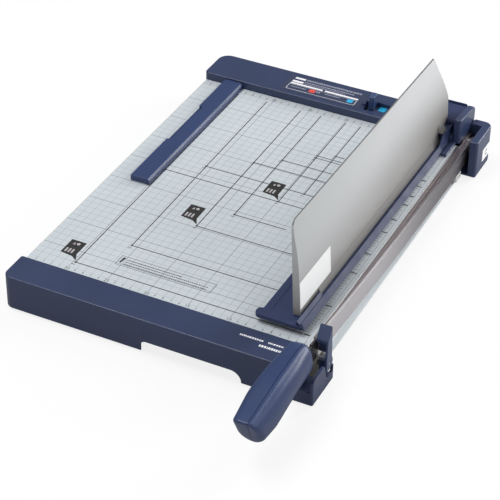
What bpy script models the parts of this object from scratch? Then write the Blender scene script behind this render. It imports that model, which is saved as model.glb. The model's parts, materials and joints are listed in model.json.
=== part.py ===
"""Lever-arm paper cutter: a ruled table between two plastic end casings, a blade arm on a rear
pivot, a sprung paper clamp that carries a tall blade guard, a sliding paper guide and an arm lock.

All pieces are drawn in one frame whose zero is the corner where paper is squared up:
X = 0 is the cutting line, Y = 0 the face of the paper stop and Z = 0 the top of the table.
The last function moves the finished assembly so that it stands on Z = 0, centred over the origin.
"""

import math

import bmesh
import bpy
from mathutils import Matrix, Vector

MM = 0.001
GAP = 0.3 * MM  # clearance between neighbouring pieces

# Table and frame
TABLE_LEFT = -350 * MM
TABLE_FRONT = -438 * MM
SHEET_THICK = 1.0 * MM
EDGE_STRIP = (-6.5 * MM, -4.7 * MM)
FIXED_BLADE = (-4.4 * MM, -0.2 * MM)
FRAME_PLATE = 2.0 * MM

# Casings
CASING_BOTTOM = -40.5 * MM
CASING_WALL = 2.5 * MM
FRONT_LEFT = -355.5 * MM
FRONT_FACE = -480 * MM
FRONT_TOP = 2 * MM
RIGHT_FACE = 20.5 * MM
REAR_FACE = 54 * MM
REAR_LEFT = -353.5 * MM
REAR_TOP = 10 * MM
REAR_RIGHT = -14 * MM
BODY_LEFT = -64 * MM  # left end of the raised housing that holds the clamp's rear end
BODY_TOP = 28 * MM

# Rubber feet
FOOT_RADIUS = 9 * MM
FOOT_BOTTOM = CASING_BOTTOM - 2.5 * MM
FOOT_PLACES = [
    (-340 * MM, -462 * MM),
    (-45 * MM, -466 * MM),
    (-330 * MM, 38 * MM),
    (-80 * MM, 38 * MM),
]

# Blade arm
PIVOT_Y = 26 * MM
PIVOT_Z = -14 * MM
ARM_DEPTH = 26 * MM
ARM_SWEEP = 4670 * MM  # radius of the slow upward curve of the arm's top edge
SWEEP_START = -50 * MM
ARM_TOP = -1 * MM
BAR = (2.4 * MM, 5.0 * MM)
BLADE = (0.3 * MM, 2.1 * MM)
BLADE_FRONT = -437 * MM
BLADE_REAR = 13 * MM
BAR_FRONT = -452 * MM
TANG_FRONT = -560 * MM
BLADE_SCREWS_Y = [-70 * MM, -190 * MM, -310 * MM, -415 * MM]

# Handle
HANDLE_SPLIT = 3 * MM
HANDLE_SCREWS_Y = [-492 * MM, -545 * MM]
HANDLE_SCREW_Z = 6 * MM
HANDLE_SLOPE = 0.44  # how far the front face leans back, for each unit down
HANDLE_STATIONS = [
    # y, left, right, top, bottom
    (-466, -11, 15.5, 32, -10),
    (-480, -12.5, 16.5, 32.7, -10),
    (-507, -16.2, 18, 31.9, -8.5),
    (-537, -18.8, 18, 30.2, -13.5),
    (-563, -19.2, 18, 26.9, -17.8),
    (-585, -17.4, 17.1, 24.6, -17.7),
    (-599, -16, 16, 23.3, -17),
]

# Clamp and guard
CLAMP_PIVOT_Y = 30 * MM
CLAMP_PIVOT_Z = 18 * MM
CLAMP_LIFT = math.radians(0.87)  # how far the spring holds the clamp's front end up
PLATE = (0.4 * MM, 4.4 * MM)
PLATE_LEFT = -69.5 * MM
CLAMP_FRONT = -425 * MM
CLAMP_EDGE = -15.5 * MM
GUARD_FOOT = PLATE[1] + 0.4 * MM
GUARD_HEIGHT = 121.5 * MM
GUARD_FRONT = -408 * MM
GUARD_REAR = 24.5 * MM

# Paper guide
GUIDE_LEFT = -323 * MM
GUIDE_RIGHT = -298 * MM
GUIDE_FRONT = -249 * MM
GUIDE_TOP = 8 * MM

# Arm lock at the front right
LOCK_X = (5.3 * MM, 19.3 * MM)
LOCK_PIVOT = (-435.5 * MM, -15 * MM)

NAVY = (0.045, 0.065, 0.135)
BLUE = (0.060, 0.085, 0.190)


# ---------------------------------------------------------------- drawing helpers


def clear_scene():
    for thing in list(bpy.data.objects):
        bpy.data.objects.remove(thing, do_unlink=True)


def paint(name, colour, roughness, metallic=0.0):
    """One Principled material."""
    material = bpy.data.materials.new(name)
    material.use_nodes = True
    shader = material.node_tree.nodes["Principled BSDF"]
    shader.inputs["Base Color"].default_value = (*colour, 1)
    shader.inputs["Roughness"].default_value = roughness
    shader.inputs["Metallic"].default_value = metallic
    return material


def make_object(name, mesh_maker, material=None, parent=None):
    """Turns a bmesh into a named object, with its faces pointing out and shaded smooth."""
    bmesh.ops.remove_doubles(mesh_maker, verts=mesh_maker.verts, dist=1e-7)
    bmesh.ops.recalc_face_normals(mesh_maker, faces=mesh_maker.faces)
    mesh = bpy.data.meshes.new(name)
    mesh_maker.to_mesh(mesh)
    mesh_maker.free()
    mesh.shade_smooth()
    mesh.set_sharp_from_angle(angle=math.radians(30))
    thing = bpy.data.objects.new(name, mesh)
    bpy.context.scene.collection.objects.link(thing)
    if material:
        mesh.materials.append(material)
    if parent:
        place_under(thing, parent)
    return thing


def place_under(thing, parent):
    """Parents a piece to a joint's empty. The piece then turns about that empty's centre."""
    thing.data.transform(Matrix.Translation(-parent.location))
    thing.parent = parent


def axis_empty(name, place, turn=(0, 0, 0)):
    """An empty on a joint's axis. Pieces that move with the joint hang from it."""
    empty = bpy.data.objects.new(name, None)
    empty.location = place
    empty.rotation_euler = turn
    empty.empty_display_size = 20 * MM
    bpy.context.scene.collection.objects.link(empty)
    return empty


def arc(centre, radius, start, end, steps):
    """Points along a circle, from one angle in degrees to another."""
    angles = [math.radians(start + (end - start) * i / steps) for i in range(steps + 1)]
    return [(centre[0] + radius * math.cos(a), centre[1] + radius * math.sin(a)) for a in angles]


def rounded(corners, steps=4):
    """An outline from (x, y, radius) corners, with an arc wherever the radius isn't zero."""
    points = []
    for index, (x, y, radius) in enumerate(corners):
        here = Vector((x, y))
        if radius == 0:
            points.append((x, y))
            continue
        to_last = (Vector(corners[index - 1][:2]) - here).normalized()
        to_next = (Vector(corners[(index + 1) % len(corners)][:2]) - here).normalized()
        half = to_last.angle(to_next) / 2
        centre = here + (to_last + to_next).normalized() * radius / math.sin(half)
        start = here + to_last * radius / math.tan(half) - centre
        end = here + to_next * radius / math.tan(half) - centre
        sweep = start.angle_signed(end)
        for step in range(steps + 1):
            turned_arm = start.copy()
            turned_arm.rotate(Matrix.Rotation(-sweep * step / steps, 2))
            points.append(tuple(centre + turned_arm))
    return points


def on_axis(axis, pair, along):
    """A point from its two coordinates across an axis and its coordinate along it."""
    a, b = pair
    return {"X": (along, a, b), "Y": (a, along, b), "Z": (a, b, along)}[axis]


def prism(name, outline, axis, low, high, material=None, parent=None):
    """An outline pushed along X (drawn in YZ), Y (drawn in XZ) or Z (drawn in XY)."""
    shape = bmesh.new()
    bottom = [shape.verts.new(on_axis(axis, point, low)) for point in outline]
    top = [shape.verts.new(on_axis(axis, point, high)) for point in outline]
    shape.faces.new(bottom)
    shape.faces.new(top)
    count = len(outline)
    for i in range(count):
        j = (i + 1) % count
        shape.faces.new((bottom[i], bottom[j], top[j], top[i]))
    return make_object(name, shape, material, parent)


def rectangle(low, high):
    return [(low[0], low[1]), (high[0], low[1]), (high[0], high[1]), (low[0], high[1])]


def block(name, x, y, z, material=None, parent=None):
    """A plain box from three (low, high) pairs."""
    return prism(name, rectangle((x[0], y[0]), (x[1], y[1])), "Z", z[0], z[1], material, parent)


def turned(name, profile, axis, centre, material=None, parent=None, steps=20):
    """A turned piece: a closed (radius, place along the axis) profile spun about that axis."""
    shape = bmesh.new()
    turn = 2 * math.pi / steps
    rings = []
    for i in range(steps):
        across = (math.cos(i * turn), math.sin(i * turn))
        ring = []
        for radius, along in profile:
            pair = (centre[0] + radius * across[0], centre[1] + radius * across[1])
            ring.append(shape.verts.new(on_axis(axis, pair, along)))
        rings.append(ring)
    count = len(profile)
    for i in range(steps):
        this, following = rings[i], rings[(i + 1) % steps]
        for j in range(count):
            k = (j + 1) % count
            if profile[j][0] == 0 and profile[k][0] == 0:
                continue
            corners = [this[j], this[k], following[k], following[j]]
            if profile[j][0] == 0:
                corners = [this[j], this[k], following[k]]
            elif profile[k][0] == 0:
                corners = [this[j], this[k], following[j]]
            shape.faces.new(corners)
    bmesh.ops.remove_doubles(shape, verts=shape.verts, dist=1e-7)
    return make_object(name, shape, material, parent)


def rod(name, axis, centre, radius, low, high, material=None, parent=None, steps=20):
    profile = [(0, low), (radius, low), (radius, high), (0, high)]
    return turned(name, profile, axis, centre, material, parent, steps)


def tube(name, axis, centre, inner, outer, low, high, material=None, parent=None):
    profile = [(inner, low), (outer, low), (outer, high), (inner, high)]
    return turned(name, profile, axis, centre, material, parent)


def loft(name, rings, material=None, parent=None):
    """A solid through a row of rings that all have the same number of points."""
    shape = bmesh.new()
    rows = [[shape.verts.new(point) for point in ring] for ring in rings]
    for this, following in zip(rows, rows[1:]):
        for i in range(len(this)):
            j = (i + 1) % len(this)
            shape.faces.new((this[i], this[j], following[j], following[i]))
    shape.faces.new(rows[0])
    shape.faces.new(rows[-1])
    return make_object(name, shape, material, parent)


def coil(name, axis, centre, radius, wire, low, high, turns, material, parent=None):
    """A spring of round wire, wound about an axis, with flat ends to the wire."""
    shape = bmesh.new()
    steps, sides = 12 * turns, 6
    rings = []
    for i in range(steps + 1):
        angle = 2 * math.pi * turns * i / steps
        along = low + (high - low) * i / steps
        ring = []
        for j in range(sides):
            side = 2 * math.pi * j / sides
            reach = radius + wire * math.cos(side)
            pair = (centre[0] + reach * math.cos(angle), centre[1] + reach * math.sin(angle))
            ring.append(shape.verts.new(on_axis(axis, pair, along + wire * math.sin(side))))
        rings.append(ring)
    for this, following in zip(rings, rings[1:]):
        for j in range(sides):
            k = (j + 1) % sides
            shape.faces.new((this[j], this[k], following[k], following[j]))
    shape.faces.new(rings[0])
    shape.faces.new(rings[-1])
    return make_object(name, shape, material, parent)


def use_tool(target, tool, operation):
    """Adds a Boolean. The tool stays in the scene as a hidden wire."""
    tool.hide_render = True
    tool.display_type = "WIRE"
    if target.parent and tool.parent is None:
        place_under(tool, target.parent)
    modifier = target.modifiers.new(tool.name, "BOOLEAN")
    modifier.operation = operation
    modifier.object = tool
    modifier.solver = "EXACT"


def cut(target, *tools):
    for tool in tools:
        use_tool(target, tool, "DIFFERENCE")


def join(target, *tools):
    for tool in tools:
        use_tool(target, tool, "UNION")


def round_edges(target, width, segments=2):
    modifier = target.modifiers.new("round_edges", "BEVEL")
    modifier.width = width
    modifier.segments = segments
    modifier.limit_method = "ANGLE"
    modifier.angle_limit = math.radians(35)
    modifier.use_clamp_overlap = True


# ---------------------------------------------------------------- table and frame


def build_table(paints):
    """The folded steel frame, the ruled sheet on it and the two strips along the cutting edge."""
    under = -SHEET_THICK - GAP
    wall_left = -9 * MM
    flange_right = 2 * MM
    flange_top = -38 * MM
    section = [
        (TABLE_LEFT, flange_top),
        (TABLE_LEFT, under),
        (-6.8 * MM, under),
        (-6.8 * MM, -6.3 * MM),
        (EDGE_STRIP[1], -6.3 * MM),
        (EDGE_STRIP[1], flange_top),
        (flange_right, flange_top),
        (flange_right, CASING_BOTTOM),
        (wall_left, CASING_BOTTOM),
        (wall_left, under - FRAME_PLATE),
        (TABLE_LEFT + FRAME_PLATE, under - FRAME_PLATE),
        (TABLE_LEFT + FRAME_PLATE, flange_top),
    ]
    frame = prism("base_frame", section, "Y", TABLE_FRONT + GAP, -GAP, paints["pale_steel"])
    tongue_z = (under - FRAME_PLATE, under)
    tongue = block("frame_tongues", (-340 * MM, -30 * MM), (-452 * MM, 14 * MM), tongue_z)
    join(frame, tongue)
    for index, y in enumerate((-380 * MM, -220 * MM, -60 * MM)):
        hole = rod(f"frame_wall_hole_{index}", "X", (y, -12 * MM), 2.7 * MM, -12 * MM, -4 * MM)
        cut(frame, hole)
        head = [(0, -12 * MM), (4.2 * MM, -12 * MM), (4.2 * MM, -9.3 * MM)]
        shank = [(2.4 * MM, -9.3 * MM), (2.4 * MM, -1.5 * MM), (0, -1.5 * MM)]
        name = f"fixed_blade_screw_{index + 1}"
        turned(name, head + shank, "X", (y, -12 * MM), paints["screw_steel"], steps=12)
    for index, (x, y) in enumerate(casing_screw_places()):
        cut(frame, rod(f"frame_screw_hole_{index}", "Z", (x, y), 2.2 * MM, -5 * MM, 0))

    sheet_x = (TABLE_LEFT, -6.8 * MM)
    sheet_y = (TABLE_FRONT + GAP, -GAP)
    block("ruled_sheet", sheet_x, sheet_y, (-SHEET_THICK, 0), paints["sheet"])
    block("edge_strip", EDGE_STRIP, sheet_y, (-6 * MM, 0), paints["bright_metal"])
    blade = block("fixed_blade", FIXED_BLADE, sheet_y, (-22 * MM, 0), paints["blade_steel"])
    for index, y in enumerate((-380 * MM, -220 * MM, -60 * MM)):
        hole = rod(f"fixed_blade_hole_{index}", "X", (y, -12 * MM), 2.7 * MM, -5 * MM, -1.2 * MM)
        cut(blade, hole)

    brace_x = (TABLE_LEFT + FRAME_PLATE + GAP, wall_left - 4 * MM)
    brace_z = (-20 * MM, under - FRAME_PLATE - GAP)
    brace_section = [
        (-235 * MM, brace_z[0]),
        (-205 * MM, brace_z[0]),
        (-205 * MM, brace_z[1]),
        (-207 * MM, brace_z[1]),
        (-207 * MM, brace_z[0] + FRAME_PLATE),
        (-233 * MM, brace_z[0] + FRAME_PLATE),
        (-233 * MM, brace_z[1]),
        (-235 * MM, brace_z[1]),
    ]
    prism("cross_brace", brace_section, "X", *brace_x, paints["pale_steel"])


def casing_screw_places():
    """Two screws hold each casing to a tongue of the frame."""
    return [(x, y) for y in (-446 * MM, 9.5 * MM) for x in (-290 * MM, -110 * MM)]


# ---------------------------------------------------------------- casings


def add_screw_bosses(casing, top, side):
    """Posts inside a casing: tall ones for the feet and short ones that meet the frame's tongue."""
    feet = [place for place in FOOT_PLACES if (place[1] < -200 * MM) == (side == "front")]
    for index, place in enumerate(feet):
        boss = rod(f"{side}_foot_boss_{index}", "Z", place, 6 * MM, -38 * MM, top + 1 * MM)
        join(casing, boss)
        cut(casing, rod(f"{side}_foot_bore_{index}", "Z", place, 1.9 * MM, -39 * MM, -22 * MM))
    screws = [place for place in casing_screw_places() if (place[1] < -200 * MM) == (side == "front")]
    for index, place in enumerate(screws):
        if side == "rear":
            boss = rod(f"rear_screw_boss_{index}", "Z", place, 3.8 * MM, -0.6 * MM, top + 1 * MM)
            join(casing, boss)
        bore_top = 0.8 * MM if side == "front" else 5 * MM
        cut(casing, rod(f"{side}_screw_bore_{index}", "Z", place, 1.8 * MM, -2 * MM, bore_top))


def build_front_casing(paints):
    """The front end cap, with the well that takes the lowered handle and the arm lock."""
    step_back = -427 * MM
    plan = rounded(
        [
            (FRONT_LEFT, TABLE_FRONT - GAP, 2.5 * MM),
            (FRONT_LEFT, FRONT_FACE, 11 * MM),
            (RIGHT_FACE, FRONT_FACE, 2 * MM),
            (RIGHT_FACE, step_back, 0),
            (8.5 * MM, step_back, 0),
            (8.5 * MM, TABLE_FRONT - GAP, 0),
        ],
        5,
    )
    casing = prism("front_casing", plan, "Z", CASING_BOTTOM, FRONT_TOP, paints["navy"])
    round_edges(casing, 1.6 * MM)

    ceiling = FRONT_TOP - CASING_WALL
    inner_front = FRONT_FACE + CASING_WALL
    hollow = rounded(
        [
            (FRONT_LEFT + CASING_WALL, -420 * MM, 0),
            (FRONT_LEFT + CASING_WALL, inner_front, 8.5 * MM),
            (-26.5 * MM, inner_front, 0),
            (-26.5 * MM, -457.5 * MM, 0),
            (-12 * MM, -457.5 * MM, 0),
            (-12 * MM, -420 * MM, 0),
        ],
        5,
    )
    cut(casing, prism("front_hollow", hollow, "Z", CASING_BOTTOM - 1 * MM, ceiling))

    well_floor = -38 * MM
    well_wall_top = -24 * MM
    well_right = 17.5 * MM
    well_x = (-9.5 * MM, well_right)
    above = FRONT_TOP + 3 * MM
    cut(casing, block("arm_well", well_x, (inner_front, -420 * MM), (well_floor, above)))
    mouth_x = (-24 * MM, well_right)
    mouth_y = (FRONT_FACE - 1 * MM, -460 * MM)
    mouth = rounded(
        [
            (mouth_x[0], above, 0),
            (mouth_x[0], well_wall_top, 4 * MM),
            (mouth_x[1], well_wall_top, 3 * MM),
            (mouth_x[1], above, 0),
        ]
    )
    cut(casing, prism("handle_mouth", mouth, "Y", *mouth_y))

    cheek_top = -6.5 * MM
    notch_floor = -28 * MM
    cheek = rounded(
        [
            (FRONT_FACE - 1 * MM, above, 0),
            (FRONT_FACE - 1 * MM, -14 * MM, 0),
            (FRONT_FACE, -14 * MM, 0),
            (FRONT_FACE, cheek_top, 6 * MM),
            (-452 * MM, cheek_top, 2 * MM),
            (-444.5 * MM, notch_floor, 3 * MM),
            (-430 * MM, notch_floor, 0),
            (-429 * MM, -21 * MM, 0),
            (-420 * MM, -21 * MM, 0),
            (-420 * MM, above, 0),
        ]
    )
    cut(casing, prism("cheek_top", cheek, "X", 15 * MM, RIGHT_FACE + 1 * MM))

    grip = rounded(
        [
            (-183 * MM, CASING_BOTTOM - 1 * MM, 0),
            (-183 * MM, -26.5 * MM, 7 * MM),
            (-62 * MM, -26.5 * MM, 13 * MM),
            (-62 * MM, CASING_BOTTOM - 1 * MM, 0),
        ]
    )
    cut(casing, prism("hand_grip", grip, "Y", FRONT_FACE - 1 * MM, inner_front + 1 * MM))

    lug_x = (9.5 * MM, 15.7 * MM)
    join(casing, block("lock_lug", lug_x, (-441 * MM, -430 * MM), (-39 * MM, -9.5 * MM)))
    cut(casing, rod("lock_pin_bore", "X", LOCK_PIVOT, 2.2 * MM, 8 * MM, 17 * MM, steps=16))
    add_screw_bosses(casing, ceiling, "front")
    return casing


def build_rear_casing(paints):
    """The rear end cap. Its front face is the paper stop."""
    left = REAR_LEFT
    plan = rounded(
        [
            (left, GAP, 6 * MM),
            (REAR_RIGHT, GAP, 0),
            (REAR_RIGHT, REAR_FACE, 2 * MM),
            (left, REAR_FACE, 15 * MM),
        ],
        5,
    )
    casing = prism("rear_casing", plan, "Z", CASING_BOTTOM, REAR_TOP, paints["navy"])
    round_edges(casing, 1.4 * MM)

    rim_rear = REAR_FACE - 0.4 * MM
    rim_right = REAR_RIGHT - 0.4 * MM
    raised_plan = rounded(
        [
            (BODY_LEFT, 17 * MM, 2 * MM),
            (rim_right, 17 * MM, 0),
            (rim_right, rim_rear, 2 * MM),
            (BODY_LEFT, rim_rear, 6 * MM),
        ]
    )
    raised = prism("rear_raised_rim", raised_plan, "Z", 5 * MM, BODY_TOP)
    round_edges(raised, 1.0 * MM)
    join(casing, raised)
    bay_x = (BODY_LEFT + CASING_WALL, REAR_RIGHT + 1 * MM)
    bay_y = (15 * MM, rim_rear - CASING_WALL)
    bay_floor = REAR_TOP - 0.6 * MM
    cut(casing, block("clamp_bay", bay_x, bay_y, (bay_floor, BODY_TOP + 5 * MM)))

    ceiling = REAR_TOP - CASING_WALL
    inner_x = (left + CASING_WALL, REAR_RIGHT - CASING_WALL)
    inner_y = (6.5 * MM, REAR_FACE - CASING_WALL)
    bottom = CASING_BOTTOM - 1 * MM
    hollow = rounded(
        [
            (inner_x[0], inner_y[0], 0),
            (inner_x[1], inner_y[0], 0),
            (inner_x[1], inner_y[1], 0),
            (inner_x[0], inner_y[1], 12.5 * MM),
        ],
        5,
    )
    cut(casing, prism("rear_hollow", hollow, "Z", bottom, ceiling))
    cut(casing, block("tongue_gate", inner_x, (-1 * MM, 7 * MM), (bottom, -SHEET_THICK)))

    pocket_x = (-136 * MM, -100 * MM)
    pocket_y = (9 * MM, 33 * MM)
    pocket_floor = 5 * MM
    wall = 2 * MM
    tray_x = (pocket_x[0] - wall, pocket_x[1] + wall)
    tray_y = (pocket_y[0] - wall, pocket_y[1] + wall)
    join(casing, block("pocket_tray", tray_x, tray_y, (pocket_floor - wall, REAR_TOP - 1 * MM)))
    cut(casing, block("pocket", pocket_x, pocket_y, (pocket_floor, REAR_TOP + 1 * MM)))
    add_screw_bosses(casing, ceiling, "rear")
    return casing


def build_casing_screws(paints):
    for index, (x, y) in enumerate(casing_screw_places()):
        tip = 0.5 * MM if y < 0 else 4.7 * MM
        head = [(0, -6 * MM), (3.4 * MM, -6 * MM), (3.4 * MM, -3.7 * MM)]
        shank = [(1.5 * MM, -3.7 * MM), (1.5 * MM, tip), (0, tip)]
        name = f"casing_screw_{index + 1}"
        turned(name, head + shank, "Z", (x, y), paints["screw_steel"], steps=12)


def build_feet(paints):
    """Four rubber feet, each held by a screw that sits in its recess."""
    for index, place in enumerate(FOOT_PLACES):
        top = -38.3 * MM
        foot = [
            (2.2 * MM, top),
            (2.2 * MM, FOOT_BOTTOM + 2.4 * MM),
            (4 * MM, FOOT_BOTTOM + 2.4 * MM),
            (4 * MM, FOOT_BOTTOM),
            (FOOT_RADIUS - 1 * MM, FOOT_BOTTOM),
            (FOOT_RADIUS, FOOT_BOTTOM + 1 * MM),
            (FOOT_RADIUS - 0.6 * MM, top),
        ]
        turned(f"rubber_foot_{index + 1}", foot, "Z", place, paints["rubber"])
        head_low = FOOT_BOTTOM + 0.5 * MM
        head_high = FOOT_BOTTOM + 2.1 * MM
        screw = [
            (0, head_low),
            (3.5 * MM, head_low),
            (3.5 * MM, head_high),
            (1.6 * MM, head_high),
            (1.6 * MM, -24 * MM),
            (0, -24 * MM),
        ]
        turned(f"foot_screw_{index + 1}", screw, "Z", place, paints["screw_steel"], steps=12)


# ---------------------------------------------------------------- rear pivot


def build_pivot(paints):
    """The covers on both sides of the arm's rear end, with the bracket, bolt and washers inside."""
    cover_x = (-13.7 * MM, -4.2 * MM)
    side = rounded(
        [
            (2 * MM, 0.3 * MM, 0),
            (14.3 * MM, 0.3 * MM, 0),
            (14.3 * MM, CASING_BOTTOM, 0),
            (REAR_FACE, CASING_BOTTOM, 0),
            (REAR_FACE, BODY_TOP, 5 * MM),
            (2 * MM, 35 * MM, 2 * MM),
        ]
    )
    inner = prism("inner_pivot_cover", side, "X", *cover_x, paints["navy"])
    round_edges(inner, 1.6 * MM)
    toe_plan = [
        (-15.2 * MM, -31.5 * MM),
        (-8.4 * MM, -31.5 * MM),
        (-8.4 * MM, 4 * MM),
        (-13.4 * MM, 4 * MM),
        (-13.4 * MM, -0.1 * MM),
        (-15.2 * MM, -0.1 * MM),
    ]
    join(inner, prism("inner_cover_toe", toe_plan, "Z", 0.3 * MM, 4.2 * MM))
    hollow_x = (cover_x[0] + 1.6 * MM, cover_x[1] - 1.6 * MM)
    hollow_y = (16.5 * MM, REAR_FACE - 2 * MM)
    cut(inner, block("inner_cover_hollow", hollow_x, hollow_y, (-42 * MM, 5 * MM)))
    pivot = (PIVOT_Y, PIVOT_Z)
    cut(inner, rod("inner_cover_bore", "X", pivot, 5.4 * MM, -8 * MM, 0))
    clamp_pivot = (CLAMP_PIVOT_Y, CLAMP_PIVOT_Z)
    cut(inner, rod("inner_cover_pin_bore", "X", clamp_pivot, 2.8 * MM, -20 * MM, -9 * MM))

    slot_left = -3.9 * MM
    slot_right = 10.3 * MM
    slot_back = 40.6 * MM
    cover_top = REAR_TOP
    rear = REAR_FACE
    plan = rounded(
        [
            (slot_left, 0, 0),
            (RIGHT_FACE, 0, 3 * MM),
            (RIGHT_FACE, rear, 10 * MM),
            (slot_left, rear, 3 * MM),
        ],
        5,
    )
    outer = prism("outer_pivot_cover", plan, "Z", CASING_BOTTOM, cover_top, paints["navy"])
    round_edges(outer, 1.6 * MM)
    slot_x = (slot_left - 2 * MM, slot_right)
    slot_y = (-2 * MM, slot_back)
    cut(outer, block("arm_slot", slot_x, slot_y, (-37 * MM, cover_top + 2 * MM)))
    hollow_x = (slot_right + 1.7 * MM, RIGHT_FACE - 2 * MM)
    hollow_y = (2.5 * MM, rear - 4 * MM)
    cut(outer, block("outer_cover_hollow", hollow_x, hollow_y, (-42 * MM, cover_top - 2.5 * MM)))

    bracket_side = [
        (-40 * MM, -36 * MM),
        (39.5 * MM, -36 * MM),
        (39.5 * MM, -1.5 * MM),
        (0.5 * MM, -1.5 * MM),
        (0.5 * MM, -23 * MM),
        (-40 * MM, -23 * MM),
    ]
    bracket = prism("pivot_bracket", bracket_side, "X", -3.9 * MM, -0.6 * MM, paints["blade_steel"])
    cut(bracket, rod("bracket_bore", "X", pivot, 5.15 * MM, -5 * MM, 1 * MM))
    for index, y in enumerate((-30 * MM, -12 * MM)):
        place = (y, -30 * MM)
        cut(bracket, rod(f"bracket_screw_bore_{index}", "X", place, 2.4 * MM, -5 * MM, -1.2 * MM))
        wall_hole = rod(f"wall_bracket_bore_{index}", "X", place, 2.4 * MM, -10 * MM, -4 * MM)
        cut(bpy.data.objects["base_frame"], wall_hole)
        head = [(0, -12 * MM), (4 * MM, -12 * MM), (4 * MM, -9.3 * MM)]
        shank = [(2.1 * MM, -9.3 * MM), (2.1 * MM, -1.5 * MM), (0, -1.5 * MM)]
        name = f"pivot_bracket_screw_{index + 1}"
        turned(name, head + shank, "X", place, paints["screw_steel"], steps=12)

    hexagon = arc(pivot, 9 * MM, 0, 300, 5)
    head = prism("pivot_bolt", hexagon, "X", 7.5 * MM, 10.0 * MM, paints["screw_steel"])
    join(head, rod("pivot_bolt_shank", "X", pivot, 5 * MM, -12 * MM, 8 * MM))
    nut = prism("pivot_nut", hexagon, "X", -11.6 * MM, -6.2 * MM, paints["screw_steel"])
    cut(nut, rod("pivot_nut_bore", "X", pivot, 5.1 * MM, -13 * MM, -5 * MM))
    ring_sizes = [
        ("pivot_spacer", 5.1 * MM, 11 * MM, -0.3 * MM, 2.1 * MM, "screw_steel"),
        ("pivot_washer", 5.1 * MM, 11 * MM, 5.3 * MM, 6.3 * MM, "screw_steel"),
        ("pivot_spring_washer", 5.1 * MM, 9.5 * MM, 6.5 * MM, 7.2 * MM, "spring_steel"),
    ]
    for name, inner_radius, outer_radius, low, high, finish in ring_sizes:
        tube(name, "X", pivot, inner_radius, outer_radius, low, high, paints[finish])

    pad_x = (-0.2 * MM, 5 * MM)
    pad = block("arm_stop_pad", pad_x, (-24 * MM, -8 * MM), (-37.7 * MM, -27.8 * MM), paints["nylon"])
    round_edges(pad, 1.2 * MM)


# ---------------------------------------------------------------- blade arm


def arm_outline(front, rear, top_drop, depth):
    """The arm's side view between two Y places: straight at the rear, curving up towards the front."""
    centre = (SWEEP_START, ARM_TOP + ARM_SWEEP)

    def curve(radius, start, end):
        first = math.degrees(math.asin((start - SWEEP_START) / radius)) - 90
        last = math.degrees(math.asin((end - SWEEP_START) / radius)) - 90
        return arc(centre, radius, first, last, 10)

    upper = curve(ARM_SWEEP + top_drop, front, SWEEP_START)
    lower = curve(ARM_SWEEP + top_drop + depth, SWEEP_START, front)
    top = ARM_TOP - top_drop
    return upper + [(rear, top), (rear, top - depth)] + lower


def build_arm(paints):
    """The steel bar and the blade that is screwed to its inner face. Both turn on the rear pivot."""
    axis = axis_empty("arm_axis", (0, PIVOT_Y, PIVOT_Z))
    body = arm_outline(BAR_FRONT, PIVOT_Y, 0, ARM_DEPTH)
    upper_and_rear = body[:11]
    lower = body[13:]
    rear_end = arc((PIVOT_Y, PIVOT_Z), ARM_DEPTH / 2, 90, -90, 12)
    tang_z = (-2 * MM, 14 * MM)
    tang = [
        (BAR_FRONT, tang_z[0]),
        (TANG_FRONT, tang_z[0]),
        (TANG_FRONT, tang_z[1]),
        (BAR_FRONT, tang_z[1]),
    ]
    bar = prism("arm_bar", upper_and_rear + rear_end + lower + tang, "X", *BAR, paints["arm_steel"], axis)
    cut(bar, rod("bar_bush_bore", "X", (PIVOT_Y, PIVOT_Z), 7.3 * MM, 0, 8 * MM))
    pivot = (PIVOT_Y, PIVOT_Z)
    tube("pivot_bush", "X", pivot, 5.2 * MM, 7.1 * MM, *BAR, paints["brass"], axis)

    blade_side = arm_outline(BLADE_FRONT, BLADE_REAR, 0, ARM_DEPTH - 1.5 * MM)
    blade = prism("moving_blade", blade_side, "X", *BLADE, paints["blade_steel"], axis)
    for index, y in enumerate(BLADE_SCREWS_Y):
        drop = ARM_SWEEP - math.sqrt(ARM_SWEEP**2 - (y - SWEEP_START) ** 2)
        place = (y, ARM_TOP + drop - ARM_DEPTH / 2)
        cut(blade, rod(f"blade_screw_bore_{index}", "X", place, 2.2 * MM, -1 * MM, 3 * MM, steps=12))
        cut(bar, rod(f"bar_screw_bore_{index}", "X", place, 2.2 * MM, 1 * MM, 4.3 * MM, steps=12))
        name = f"blade_screw_{index + 1}"
        screw_steel = paints["screw_steel"]
        rod(name, "X", place, 1.9 * MM, 0.5 * MM, 4.0 * MM, screw_steel, axis, steps=12)
    for index, y in enumerate(HANDLE_SCREWS_Y):
        place = (y, HANDLE_SCREW_Z)
        cut(bar, rod(f"tang_bore_{index}", "X", place, 2.3 * MM, 0, 8 * MM, steps=12))
    build_handle(paints, axis)


def handle_size(y):
    """Left, right, top and bottom of the grip at one place along it, between its stations."""
    for rear, front in zip(HANDLE_STATIONS, HANDLE_STATIONS[1:]):
        if y >= front[0]:
            share = (y - rear[0]) / (front[0] - rear[0])
            return [a + (b - a) * share for a, b in zip(rear[1:], front[1:])]
    return HANDLE_STATIONS[-1][1:]


def handle_ring(size, inset, corner_steps=6):
    """One section in XZ: a flat top with a crisp left corner, and oval everywhere else."""
    left, right, top, bottom = size
    middle = (top + bottom) / 2
    split = HANDLE_SPLIT / MM
    points = []
    quarters = [(right, top, 2.1), (left, top, 5), (left, bottom, 2.2), (right, bottom, 2)]
    for index, (side, end, squareness) in enumerate(quarters):
        wide = abs(side - split) - inset
        high = abs(end - middle) - inset
        for step in range(corner_steps):
            angle = math.pi / 2 * (index + step / corner_steps)
            c, s = math.cos(angle), math.sin(angle)
            across = math.copysign(abs(c) ** (2 / squareness), c)
            up = math.copysign(abs(s) ** (2 / squareness), s)
            points.append((split + wide * across, middle + high * up))
    return points


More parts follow.
